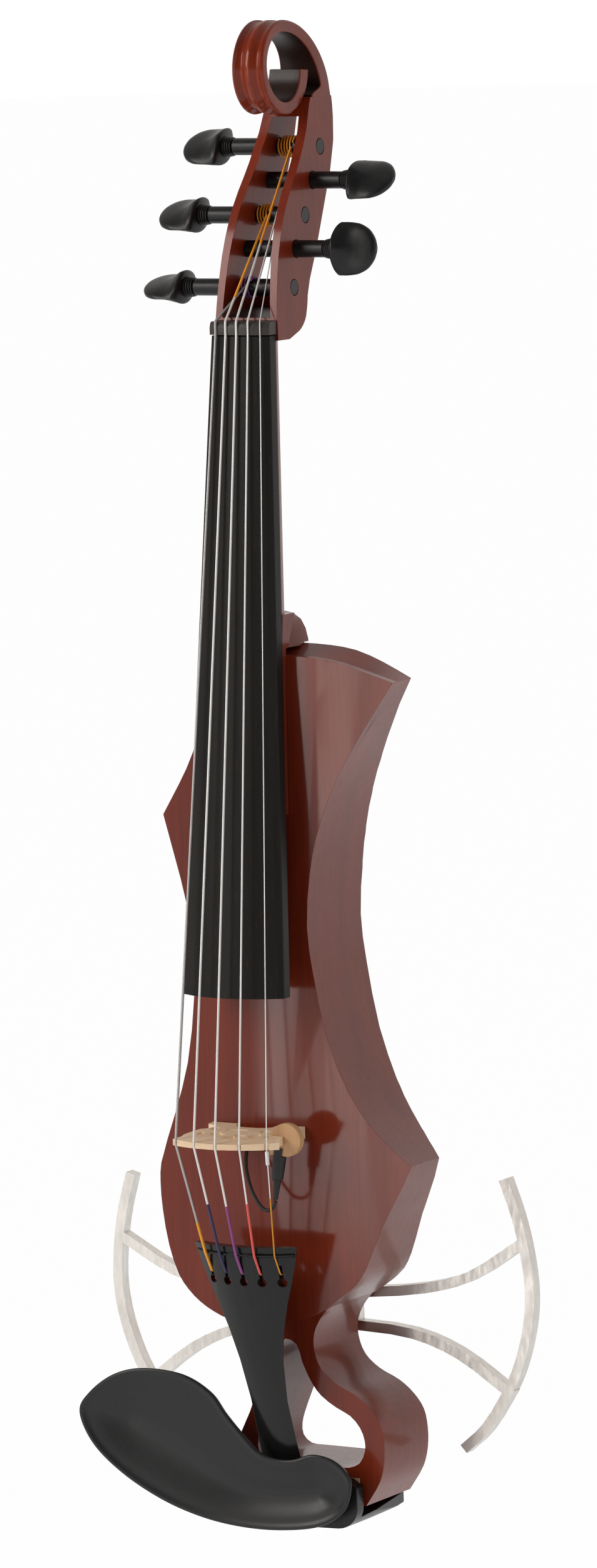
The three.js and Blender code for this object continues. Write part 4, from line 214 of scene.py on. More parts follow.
@dataclass
class Effects:
    """The node groups that several finishes share, each built once.

    Attributes:
        made: the groups by name.
    """

    made: dict[str, bpy.types.NodeTree] = field(default_factory=dict)

    def use(self, bench: Bench, name: str, **values: object) -> bpy.types.Node:
        """Places a group in a material.

        Args:
            bench: the material's tree.
            name: which group.
            values: values of its inputs by lower-case name.

        Returns:
            The group's node.
        """
        if name not in self.made:
            self.made[name] = getattr(self, name)()
        node = bench.tree.nodes.new("ShaderNodeGroup")
        node.node_tree = self.made[name]
        for key, value in values.items():
            wanted = key.replace("_", " ").lower()
            socket = next(s for s in node.inputs if s.name.lower() == wanted)
            if isinstance(value, bpy.types.NodeSocket):
                bench.join(value, socket)
            else:
                socket.default_value = value
        return node

    def wood_grain(self) -> bpy.types.NodeTree:
        """Fibres and slow bands that run along the piece, with fine pores.

        Returns:
            The group, with a fibre mask, a band mask and pores.
        """
        bench = new_group(
            "wood_grain",
            [("Vector", "NodeSocketVector", None), ("Fibre", "NodeSocketFloat", 900.0), ("Bands", "NodeSocketFloat", 60.0)],
            [("Fibre Mask", "NodeSocketFloat"), ("Band Mask", "NodeSocketFloat"), ("Pores", "NodeSocketFloat")],
        )
        start = bench.add("NodeGroupInput")
        end = bench.add("NodeGroupOutput")
        fibre = bench.add("ShaderNodeTexNoise", detail=3.0, roughness=0.6)
        bench.join(start.outputs["Vector"], fibre.inputs["Vector"])
        bench.join(start.outputs["Fibre"], fibre.inputs["Scale"])
        bands = bench.add("ShaderNodeTexNoise", detail=2.0, roughness=0.45, distortion=0.4)
        bench.join(start.outputs["Vector"], bands.inputs["Vector"])
        bench.join(start.outputs["Bands"], bands.inputs["Scale"])
        pores = bench.add("ShaderNodeTexVoronoi", feature="F1")
        bench.join(start.outputs["Vector"], pores.inputs["Vector"])
        bench.join(start.outputs["Fibre"], pores.inputs["Scale"])
        bench.join(bench.steps(fibre.outputs[0], 0.3, 0.7), end.inputs["Fibre Mask"])
        bench.join(bench.steps(bands.outputs[0], 0.32, 0.68), end.inputs["Band Mask"])
        bench.join(bench.steps(pores.outputs["Distance"], 0.0, 0.22), end.inputs["Pores"])
        return bench.tree

    def handling(self) -> bpy.types.NodeTree:
        """Slow drift of tone, fine rub marks and dust, as on a piece that is handled.

        Returns:
            The group, with a drift mask, a rub mask and a height.
        """
        bench = new_group(
            "handling",
            [("Vector", "NodeSocketVector", None), ("Drift", "NodeSocketFloat", 18.0), ("Rub", "NodeSocketFloat", 500.0)],
            [("Drift Mask", "NodeSocketFloat"), ("Rub Mask", "NodeSocketFloat"), ("Height", "NodeSocketFloat")],
        )
        start = bench.add("NodeGroupInput")
        end = bench.add("NodeGroupOutput")
        drift = bench.add("ShaderNodeTexNoise", detail=3.0, roughness=0.5)
        bench.join(start.outputs["Vector"], drift.inputs["Vector"])
        bench.join(start.outputs["Drift"], drift.inputs["Scale"])
        rub = bench.add("ShaderNodeTexNoise", detail=4.0, roughness=0.7, distortion=1.5)
        bench.join(start.outputs["Vector"], rub.inputs["Vector"])
        bench.join(start.outputs["Rub"], rub.inputs["Scale"])
        bench.join(bench.steps(drift.outputs[0], 0.3, 0.7), end.inputs["Drift Mask"])
        bench.join(bench.steps(rub.outputs[0], 0.35, 0.75), end.inputs["Rub Mask"])
        bench.join(bench.maths("MULTIPLY", rub.outputs[0], drift.outputs[0]), end.inputs["Height"])
        return bench.tree

    def wrapping(self) -> bpy.types.NodeTree:
        """Fine turns of wire or thread round a string.

        Returns:
            The group, with a turn mask.
        """
        bench = new_group(
            "wrapping",
            [("Vector", "NodeSocketVector", None), ("Turns", "NodeSocketFloat", 400.0)],
            [("Turn Mask", "NodeSocketFloat")],
        )
        start = bench.add("NodeGroupInput")
        end = bench.add("NodeGroupOutput")
        turns = bench.add("ShaderNodeTexWave", wave_type="BANDS", bands_direction="Z", distortion=0.3, detail=1.0)
        bench.join(start.outputs["Vector"], turns.inputs["Vector"])
        bench.join(start.outputs["Turns"], turns.inputs["Scale"])
        bench.join(turns.outputs["Fac"], end.inputs["Turn Mask"])
        return bench.tree


EFFECTS = Effects()


@dataclass(frozen=True)
class Finish:
    """What every finish shares.

    Attributes:
        name: the material's name.
        slot: the record's slot that it belongs to; not used.
    """

    name: str
    slot: str

    def open(self, roughness: float, metallic: float = 0.0) -> tuple[bpy.types.Material, Bench, bpy.types.Node]:
        """A material with its shader and output.

        Args:
            roughness: starting roughness.
            metallic: 1 for metal.

        Returns:
            The material, its bench and the shader node.
        """
        material = bpy.data.materials.new(self.name)
        material.use_nodes = True
        bench = Bench(material.node_tree)
        bench.tree.nodes.clear()
        output = bench.add("ShaderNodeOutputMaterial")
        shader = bench.add("ShaderNodeBsdfPrincipled")
        shader.inputs["Roughness"].default_value = roughness
        shader.inputs["Metallic"].default_value = metallic
        bench.join(shader.outputs[0], output.inputs[0])
        return material, bench, shader

    def stretched(self, bench: Bench, scale: Point) -> bpy.types.NodeSocket:
        """The object's own coordinates, stretched.

        Args:
            bench: the material's tree.
            scale: factor along each axis.

        Returns:
            The vector's socket.
        """
        place_in = bench.add("ShaderNodeTexCoord")
        mapping = bench.add("ShaderNodeMapping")
        mapping.inputs["Scale"].default_value = scale
        bench.join(place_in.outputs["Object"], mapping.inputs["Vector"])
        return mapping.outputs[0]

    def bump(self, bench: Bench, height: bpy.types.NodeSocket, shader: bpy.types.Node, strength: float, depth: float) -> None:
        """Adds relief to the shader.

        Args:
            bench: the material's tree.
            height: the relief's height.
            shader: the shader node.
            strength: how strongly it shows.
            depth: real depth in metres.
        """
        node = bench.add("ShaderNodeBump")
        node.inputs["Strength"].default_value = strength
        node.inputs["Distance"].default_value = depth
        bench.join(height, node.inputs["Height"])
        bench.join(node.outputs[0], shader.inputs["Normal"])


@dataclass(frozen=True)
class Lacquer(Finish):
    """Clear lacquer over stained wood.

    Attributes:
        light: colour of the paler fibres.
        deep: colour between them.
        gloss: roughness of the coat.
        coat: weight of the coat.
        scale: stretch of the grain along each axis.
    """

    light: Colour = (0.2, 0.06, 0.04)
    deep: Colour = (0.09, 0.022, 0.014)
    gloss: float = 0.2
    coat: float = 0.7
    scale: Point = (1.0, 1.0, 0.05)

    def make(self) -> bpy.types.Material:
        """Builds the material.

        Returns:
            The material.
        """
        material, bench, shader = self.open(0.42)
        grain = EFFECTS.use(bench, "wood_grain", vector=self.stretched(bench, self.scale), fibre=620.0, bands=55.0)
        wear = EFFECTS.use(bench, "handling", vector=self.stretched(bench, (1.0, 1.0, 0.6)), drift=14.0, rub=300.0)
        tone = bench.maths("ADD", bench.maths("MULTIPLY", grain.outputs["Fibre Mask"], 0.26), bench.maths("MULTIPLY", grain.outputs["Band Mask"], 0.3))
        tone = bench.maths("ADD", tone, 0.2)
        tone = bench.maths("MULTIPLY", tone, bench.maths("ADD", bench.maths("MULTIPLY", wear.outputs["Drift Mask"], 0.5), 0.65))
        colour = bench.blend(tone, self.deep, self.light)
        pores = bench.maths("MULTIPLY", bench.maths("SUBTRACT", 1.0, grain.outputs["Pores"]), 0.35)
        darker = tuple(c * 0.4 for c in self.deep)
        bench.join(bench.blend(pores, colour, darker), shader.inputs["Base Color"])
        rough = bench.maths("ADD", bench.maths("MULTIPLY", wear.outputs["Rub Mask"], 0.12), 0.36)
        bench.join(rough, shader.inputs["Roughness"])
        shader.inputs["Specular IOR Level"].default_value = 0.1
        shader.inputs["Coat Weight"].default_value = self.coat
        shader.inputs["Coat Roughness"].default_value = self.gloss
        self.bump(bench, grain.outputs["Fibre Mask"], shader, 0.08, 0.00004)
        return material


@dataclass(frozen=True)
class BareWood(Finish):
    """Unlacquered wood, such as ebony or maple.

    Attributes:
        light: colour of the paler fibres.
        deep: colour between them.
        flecks: colour of the short flecks.
        fleck_share: how strongly the flecks show.
        roughness: base roughness.
        scale: stretch of the grain along each axis.
        fibre: fineness of the fibres.
    """

    light: Colour = (0.6, 0.42, 0.26)
    deep: Colour = (0.48, 0.32, 0.2)
    flecks: Colour = (0.3, 0.16, 0.08)
    fleck_share: float = 0.3
    roughness: float = 0.5
    scale: Point = (1.0, 1.0, 0.05)
    fibre: float = 700.0
    bands: float = 90.0
    shine: float = 0.5

    def make(self) -> bpy.types.Material:
        """Builds the material.

        Returns:
            The material.
        """
        material, bench, shader = self.open(self.roughness)
        vector = self.stretched(bench, self.scale)
        grain = EFFECTS.use(bench, "wood_grain", vector=vector, fibre=self.fibre, bands=self.bands)
        wear = EFFECTS.use(bench, "handling", vector=self.stretched(bench, (1.0, 1.0, 1.0)), drift=30.0, rub=700.0)
        tone = bench.maths("ADD", bench.maths("MULTIPLY", grain.outputs["Fibre Mask"], 0.4), bench.maths("MULTIPLY", grain.outputs["Band Mask"], 0.55))
        colour = bench.blend(tone, self.deep, self.light)
        spots = bench.maths("MULTIPLY", bench.maths("SUBTRACT", 1.0, grain.outputs["Pores"]), self.fleck_share)
        bench.join(bench.blend(spots, colour, self.flecks), shader.inputs["Base Color"])
        rough = bench.maths("ADD", bench.maths("MULTIPLY", wear.outputs["Rub Mask"], 0.14), self.roughness - 0.06)
        bench.join(rough, shader.inputs["Roughness"])
        shader.inputs["Specular IOR Level"].default_value = self.shine
        self.bump(bench, grain.outputs["Fibre Mask"], shader, 0.12, 0.00004)
        return material


@dataclass(frozen=True)
class Moulded(Finish):
    """Satin plastic, rubber or enamel.

    Attributes:
        colour: main colour.
        worn: colour where it is rubbed.
        roughness: base roughness.
        rub: fineness of the rub marks.
        relief: depth of the moulded texture in metres.
    """

    colour: Colour = (0.008, 0.008, 0.0082)
    worn: Colour = (0.018, 0.018, 0.0184)
    roughness: float = 0.38
    rub: float = 420.0
    relief: float = 0.00002

    def make(self) -> bpy.types.Material:
        """Builds the material.

        Returns:
            The material.
        """
        material, bench, shader = self.open(self.roughness)
        wear = EFFECTS.use(bench, "handling", vector=self.stretched(bench, (1.0, 1.0, 1.0)), drift=26.0, rub=self.rub)
        mask = bench.maths("MULTIPLY", wear.outputs["Rub Mask"], bench.maths("ADD", bench.maths("MULTIPLY", wear.outputs["Drift Mask"], 0.7), 0.2))
        bench.join(bench.blend(mask, self.colour, self.worn), shader.inputs["Base Color"])
        rough = bench.maths("ADD", bench.maths("MULTIPLY", wear.outputs["Rub Mask"], 0.1), self.roughness - 0.05)
        bench.join(rough, shader.inputs["Roughness"])
        shader.inputs["Specular IOR Level"].default_value = 0.3
        self.bump(bench, wear.outputs["Height"], shader, 0.12, self.relief)
        return material


@dataclass(frozen=True)
class Brushed(Finish):
    """Brushed or plain bright metal.

    Attributes:
        colour: main colour.
        shade: colour in the brush marks.
        roughness: base roughness.
        scale: stretch of the brushing along each axis.
    """

    colour: Colour = (0.74, 0.71, 0.67)
    shade: Colour = (0.5, 0.48, 0.45)
    roughness: float = 0.3
    scale: Point = (1.0, 1.0, 0.08)

    def make(self) -> bpy.types.Material:
        """Builds the material.

        Returns:
            The material.
        """
        material, bench, shader = self.open(self.roughness, 1.0)
        marks = EFFECTS.use(bench, "wood_grain", vector=self.stretched(bench, self.scale), fibre=1500.0, bands=120.0)
        wear = EFFECTS.use(bench, "handling", vector=self.stretched(bench, (1.0, 1.0, 1.0)), drift=40.0, rub=160.0)
        mask = bench.maths("MULTIPLY", bench.maths("ADD", marks.outputs["Fibre Mask"], wear.outputs["Drift Mask"]), 0.4)
        bench.join(bench.blend(mask, self.colour, self.shade), shader.inputs["Base Color"])
        rough = bench.maths("ADD", bench.maths("MULTIPLY", marks.outputs["Fibre Mask"], 0.16), self.roughness)
        bench.join(rough, shader.inputs["Roughness"])
        self.bump(bench, marks.outputs["Band Mask"], shader, 0.012, 0.00001)
        return material


@dataclass(frozen=True)
class Wrapped(Finish):
    """A string's metal winding or its silk.

    Attributes:
        colour: crest colour.
        shade: colour between the turns, painted shade in the grooves between them.
        roughness: base roughness.
        metallic: 1 for metal.
        turns: fineness of the turns.
    """

    colour: Colour = (0.8, 0.79, 0.76)
    shade: Colour = (0.4, 0.39, 0.37)
    roughness: float = 0.3
    metallic: float = 1.0
    turns: float = 900.0

    def make(self) -> bpy.types.Material:
        """Builds the material.

        Returns:
            The material.
        """
        material, bench, shader = self.open(self.roughness, self.metallic)
        vector = self.stretched(bench, (1.0, 1.0, 1.0))
        turns = EFFECTS.use(bench, "wrapping", vector=vector, turns=self.turns)
        wear = EFFECTS.use(bench, "handling", vector=vector, drift=60.0, rub=900.0)
        # The mask paints shade into the grooves: the crest colour on the turns, the darker shade colour between them.
        mask = bench.maths("MULTIPLY", turns.outputs[0], bench.maths("ADD", bench.maths("MULTIPLY", wear.outputs["Drift Mask"], 0.4), 0.6))
        bench.join(bench.blend(mask, self.shade, self.colour), shader.inputs["Base Color"])
        self.bump(bench, turns.outputs[0], shader, 0.5, 0.00006)
        return material


@dataclass
class Shop:
    """All finishes of the violin, each made into a material once.

    Attributes:
        made: materials by finish name.
    """

    made: dict[str, bpy.types.Material] = field(default_factory=dict)
    finishes: dict[str, Finish] = field(default_factory=dict)

    def stock(self) -> None:
        """Lists the finishes."""
        for finish in (
            Lacquer("body_lacquer", "lacquered_wood", light=(0.25, 0.034, 0.0105), deep=(0.105, 0.0105, 0.004), gloss=0.13, coat=0.5),
            Lacquer("scroll_lacquer", "lacquered_wood", light=(0.285, 0.036, 0.009), deep=(0.125, 0.0105, 0.003), gloss=0.13, coat=0.42),
            # Near-black lacquer for the strip's inner faces; on the pegbox floor under the pegs it is painted shade.
            Lacquer("scroll_inside", "lacquered_wood", light=(0.03, 0.011, 0.008), deep=(0.013, 0.005, 0.004), gloss=0.3, coat=0.3),
            BareWood("ebony", "ebony", light=(0.018, 0.016, 0.0145), deep=(0.011, 0.0098, 0.009), flecks=(0.06, 0.04, 0.028), fleck_share=0.3, roughness=0.46, scale=(1.0, 1.0, 0.03), bands=140.0, shine=0.15),
            BareWood("nut_wood", "nut_wood", light=(0.055, 0.046, 0.042), deep=(0.03, 0.025, 0.023), flecks=(0.015, 0.012, 0.011), roughness=0.42, shine=0.3, scale=(0.1, 1.0, 1.0)),
            BareWood("maple", "maple", light=(0.94, 0.73, 0.5), deep=(0.8, 0.57, 0.37), flecks=(0.46, 0.28, 0.16), fleck_share=0.5, roughness=0.55, scale=(0.12, 1.0, 1.0), fibre=520.0),
            BareWood("disc_wood", "disc_wood", light=(0.66, 0.4, 0.2), deep=(0.52, 0.29, 0.14), flecks=(0.4, 0.2, 0.09), roughness=0.55),
            Moulded("peg_satin", "peg_black"),
            Moulded("tailpiece_satin", "tailpiece_black", colour=(0.009, 0.009, 0.009), worn=(0.013, 0.013, 0.0132), roughness=0.2, rub=90.0, relief=0.000002),
            Moulded("fitting_satin", "fitting_black"),
            Moulded("chin_rest_satin", "chin_rest_black", colour=(0.018, 0.018, 0.0185), worn=(0.028, 0.028, 0.0285), roughness=0.35, rub=900.0),
            Moulded("clamp_enamel", "clamp_black", roughness=0.32),
            Moulded("cover_satin", "cover_black", roughness=0.5),
            Moulded("knob_satin", "knob_black", roughness=0.3),
            Moulded("lead_rubber", "sleeve_rubber", colour=(0.017, 0.017, 0.018), worn=(0.035, 0.035, 0.036), roughness=0.5),
            Moulded("gut_cord", "gut_black", roughness=0.3),
            Moulded("white_sleeve", "white_plastic", colour=(0.86, 0.86, 0.86), worn=(0.76, 0.76, 0.75), roughness=0.35),
            Moulded("cork_sheet", "cork", colour=(0.5, 0.32, 0.18), worn=(0.3, 0.17, 0.09), roughness=0.85, rub=350.0, relief=0.0002),
            Moulded("board_mask", "circuit_green", colour=(0.03, 0.16, 0.07), worn=(0.05, 0.22, 0.1)),
            Moulded("battery_can", "battery_shell", colour=(0.16, 0.16, 0.17), worn=(0.25, 0.25, 0.26)),
            Brushed("frame_brushed", "frame_metal", colour=(0.7, 0.67, 0.63), shade=(0.56, 0.535, 0.5), roughness=0.3, scale=(0.3, 0.3, 0.08)),
            Brushed("screw_metal", "screw_steel", roughness=0.25),
            Brushed("nickel_plate", "nickel", roughness=0.18),
            # Each string and silk finish pairs its colour with a darker shade colour, painted shade between the turns.
            Wrapped("wound_steel", "string_metal", colour=(0.97, 0.96, 0.94), shade=(0.72, 0.7, 0.68), roughness=0.34, metallic=0.3),
            Wrapped("dark_steel", "string_metal", colour=(0.62, 0.6, 0.58), shade=(0.32, 0.31, 0.3), roughness=0.36, metallic=0.7),
            Wrapped("plain_steel", "string_metal", colour=(0.97, 0.96, 0.94), shade=(0.84, 0.83, 0.81), roughness=0.25, metallic=0.3),
            Wrapped("orange_thread", "orange_silk", colour=(1.0, 0.47, 0.045), shade=(0.92, 0.32, 0.015), roughness=0.6, metallic=0.0, turns=1200.0),
            Wrapped("violet_thread", "violet_silk", colour=(0.56, 0.2, 0.68), shade=(0.34, 0.09, 0.46), roughness=0.6, metallic=0.0, turns=1200.0),
            Wrapped("navy_thread", "violet_silk", colour=(0.05, 0.035, 0.14), shade=(0.02, 0.015, 0.06), roughness=0.6, metallic=0.0, turns=1200.0),
            Wrapped("magenta_thread", "violet_silk", colour=(0.42, 0.1, 0.36), shade=(0.2, 0.04, 0.18), roughness=0.6, metallic=0.0, turns=1200.0),
            Wrapped("coral_thread", "orange_silk", colour=(0.95, 0.17, 0.14), shade=(0.75, 0.09, 0.075), roughness=0.6, metallic=0.0, turns=1200.0),
            Wrapped("amber_thread", "orange_silk", colour=(0.9, 0.42, 0.03), shade=(0.55, 0.2, 0.01), roughness=0.6, metallic=0.0, turns=1200.0),
        ):
            self.finishes[finish.name] = finish

    def dress(self, piece: bpy.types.Object, name: str) -> None:
        """Gives a piece its finish.

        Args:
            piece: a new piece or a CAD node.
            name: the finish.
        """
        if name not in self.made:
            self.made[name] = self.finishes[name].make()
        material = self.made[name]
        if piece.material_slots:
            for slot in piece.material_slots:
                slot.material = material
        else:
            piece.data.materials.append(material)


# ---------------------------------------------------------------- mesh work

EdgeRule = Callable[[Vector], bool] | None


@dataclass
class Workshop:
    """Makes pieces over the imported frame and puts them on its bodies.

    Attributes:
        shop: the finishes.
    """

    frame: dict
    shop: Shop

    def body_of(self, node: str) -> str:
        """The body that a node belongs to."""
        bodies = self.frame["record"]["behaviour"]["bodies"]
        return next(name for name, nodes in bodies.items() if node in nodes)

    def settle(self, piece: bpy.types.Object, finish: str, *nodes: str) -> bpy.types.Object:
        """Dresses a piece, puts it on the body of its nodes and hides them.

        Args:
            piece: the new piece.
            finish: its finish.
            nodes: the nodes that it stands for.

        Returns:
            The piece.
        """
        self.shop.dress(piece, finish)
        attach(piece, self.body_of(nodes[0]))
        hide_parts(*nodes)
        LOG.info("%s: %d faces", piece.name, len(piece.data.polygons) if piece.type == "MESH" else 0)
        return piece

    def ride_with(self, piece: bpy.types.Object, finish: str, node: str) -> bpy.types.Object:
        """Dresses a piece that is added beside a node, on its body.

        Args:
            piece: the new piece.
            finish: its finish.
            node: the node whose body carries it.

        Returns:
            The piece.
        """
        self.shop.dress(piece, finish)
        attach(piece, self.body_of(node))
        LOG.info("%s added", piece.name)
        return piece

    def copied(self, node: str) -> bmesh.types.BMesh:
        """A node's mesh with its facets merged, to be worked on."""
        work = bmesh.new()
        work.from_mesh(self.frame["nodes"][node].data)
        bmesh.ops.remove_doubles(work, verts=work.verts, dist=2e-6)
        bmesh.ops.dissolve_limit(work, angle_limit=math.radians(1.2), verts=work.verts, edges=work.edges)
        return work

    def eased(self, work: bmesh.types.BMesh, edge: float, angle: float = 32.0, segments: int = 2, where: EdgeRule = None) -> None:
        """Eases the sharp edges of a mesh.

        Args:
            work: the mesh under work.
            edge: width of the eased edges in metres.
            angle: edges sharper than this, in degrees, are eased.
            segments: steps of the easing.
            where: tells from an edge's middle whether it is eased; all are without it.
        """
        sharp = [
            e for e in work.edges
            if len(e.link_faces) == 2 and e.calc_face_angle(0.0) > math.radians(angle)
            and (where is None or where((e.verts[0].co + e.verts[1].co) / 2))
        ]
        bmesh.ops.bevel(work, geom=sharp, offset=edge, offset_type="OFFSET", segments=segments, profile=0.6, affect="EDGES", clamp_overlap=True)

    def worked(self, node: str, edge: float, finish: str) -> bpy.types.Object:
        """A node's shape with its facets merged and its edges eased.

        Args:
            node: the CAD node.
            edge: width of the eased edges in metres.
            finish: the piece's finish.

        Returns:
            The piece that replaces the node.
        """
        work = self.copied(node)
        if edge > 0:
            self.eased(work, edge)
        return self.settle(self.finished(f"{node}_worked", work), finish, node)

    def shade(self, piece: bpy.types.Object, finish: str, which: Callable[[bpy.types.MeshPolygon], bool]) -> None:
        """Gives some faces of a dressed piece a second finish.

        Args:
            piece: the piece.
            finish: the second finish.
            which: tells the faces that get it.
        """
        if finish not in self.shop.made:
            self.shop.made[finish] = self.shop.finishes[finish].make()
        piece.data.materials.append(self.shop.made[finish])
        for face in piece.data.polygons:
            if which(face):
                face.material_index = len(piece.data.materials) - 1

    def spine(self, node: str, sides: int = 6) -> list[Vector]:
        """The centre line of a tube that runs down the instrument, from its rings.

        Args:
            node: the tube's node; its last two rings lie at one height.
            sides: corners of each ring.

        Returns:
            The centres from top to bottom.
        """
        work = bmesh.new()
        work.from_mesh(self.frame["nodes"][node].data)
        bmesh.ops.remove_doubles(work, verts=work.verts, dist=2e-6)
        spots = sorted((v.co.copy() for v in work.verts), key=lambda spot: -spot.z)
        work.free()
        spots = spots[:-2 * sides] + sorted(spots[-2 * sides:], key=lambda spot: spot.y)
        groups = [spots[i:i + sides] for i in range(0, len(spots), sides)]
        return [sum(group, Vector()) / len(group) for group in groups]

    def finished(self, name: str, work: bmesh.types.BMesh, sharp: float = 38.0) -> bpy.types.Object:
        """Turns mesh work into a smooth-shaded object.

        Args:
            name: the object's name.
            work: the mesh under work, which is freed.
            sharp: edges sharper than this, in degrees, stay crisp.

        Returns:
            The object.
        """
        bmesh.ops.recalc_face_normals(work, faces=work.faces)
        mesh = bpy.data.meshes.new(name)
        work.to_mesh(mesh)
        work.free()
        mesh.polygons.foreach_set("use_smooth", [True] * len(mesh.polygons))
        mesh.set_sharp_from_angle(angle=math.radians(sharp))
        piece = bpy.data.objects.new(name, mesh)
        bpy.context.scene.collection.objects.link(piece)
        weighted = piece.modifiers.new("even_normals", "WEIGHTED_NORMAL")
        weighted.keep_sharp = True
        return piece

    def lofted(self, name: str, rings: list[list[Vector]], smooth: int = 0) -> bpy.types.Object:
        """A closed surface through rings of points.

        Args:
            name: the object's name.
            rings: rings with the same number of points.
            smooth: levels of subdivision.

        Returns:
            The object.
        """
        work = bmesh.new()
        rows = [[work.verts.new(p) for p in ring] for ring in rings]
        count = len(rows[0])
        for low, high in zip(rows, rows[1:]):
            for i in range(count):
                j = (i + 1) % count
                work.faces.new((low[i], low[j], high[j], high[i]))
        work.faces.new(rows[0][::-1])
        work.faces.new(rows[-1])
        piece = self.finished(name, work)
        if smooth:
            rounding = piece.modifiers.new("rounding", "SUBSURF")
            rounding.levels = smooth
            rounding.render_levels = smooth
        return piece

    def thread(self, name: str, route: list[Vector], radius: float, sides: int = 10) -> bpy.types.Object:
        """A tube along a route.

        Args:
            name: the object's name.
            route: its centre line.
            radius: its radius.
            sides: points round it.

        Returns:
            The object.
        """
        rings = []
        normal = Vector((1.0, 0.0, 0.0))
        for i, spot in enumerate(route):
            before = route[max(i - 1, 0)]
            after = route[min(i + 1, len(route) - 1)]
            along = (after - before).normalized()
            normal = (normal - along * normal.dot(along)).normalized()
            across = along.cross(normal)
            rings.append([
                spot + (normal * math.cos(a) + across * math.sin(a)) * radius
                for a in (2 * math.pi * k / sides for k in range(sides))
            ])
        return self.lofted(name, rings)


def smooth_line(points: list[Vector], steps: int) -> list[Vector]:
    """A smooth line through points.

    Args:
        points: the points it passes through.
        steps: steps between two points.

    Returns:
        The denser line.
    """
    line = []
    padded = [points[0] * 2 - points[1], *points, points[-1] * 2 - points[-2]]
    for a, b, c, d in zip(padded, padded[1:], padded[2:], padded[3:]):
        for k in range(steps):
            t = k / steps
            line.append(
                0.5 * (2 * b + (c - a) * t + (2 * a - 5 * b + 4 * c - d) * t * t + (3 * b - a - 3 * c + d) * t * t * t)
            )
    line.append(points[-1].copy())
    return line


def looped(points: list[Vector], steps: int) -> list[Vector]:
    """A smooth closed line through points.

    Args:
        points: the points it passes through.
        steps: steps between two points.

    Returns:
        The denser line, without its first point repeated.
    """
    count = len(points)
    around = [points[i % count] for i in range(-2, count + 3)]
    line = smooth_line(around, steps)
    return line[2 * steps:(2 + count) * steps]


def bent(route: list[Vector], reach: float, steps: int = 5) -> list[Vector]:
    """A route with its corners turned into short bends.

    Args:
        route: the corners.
        reach: how far before and behind a corner its bend runs, in metres.
        steps: steps of a bend.

    Returns:
        The route with bends.
    """
    line = [route[0].copy()]
    for before, corner, after in zip(route, route[1:], route[2:]):
        near = min(reach, (corner - before).length * 0.4, (after - corner).length * 0.4)
        start = corner + (before - corner).normalized() * near
        stop = corner + (after - corner).normalized() * near
        for k in range(steps + 1):
            t = k / steps
            line.append(start * (1 - t) ** 2 + corner * (2 * t * (1 - t)) + stop * t ** 2)
    line.append(route[-1].copy())
    return line


def between(route: list[Vector], high: float, low: float) -> list[Vector]:
    """The part of a falling route between two heights.

    Args:
        route: points whose heights fall.
        high: upper height in metres.
        low: lower height in metres.

    Returns:
        The part's points.
    """
    part: list[Vector] = []
    for a, b in zip(route, route[1:]):
        for level in (high, low):
            if a.z > level > b.z:
                part.append(a.lerp(b, (a.z - level) / (a.z - b.z)))
        if low <= b.z <= high:
            part.append(b.copy())
    if low <= route[0].z <= high:
        part.insert(0, route[0].copy())
    return part


def eased_share(share: float) -> float:
    """A share from 0 to 1 that starts and stops softly."""
    share = min(max(share, 0.0), 1.0)
    return share * share * (3 - 2 * share)


def shared(table: tuple[tuple[float, ...], ...], steps: int) -> list[tuple[float, ...]]:
    """Rows of shares, made denser with a smooth line through each column.

    Args:
        table: the rows.
        steps: steps between two rows.

    Returns:
        The denser rows.
    """
    line = smooth_line([Vector(row) for row in table], steps)
    return [tuple(row) for row in line]


# ---------------------------------------------------------------- sub-assemblies


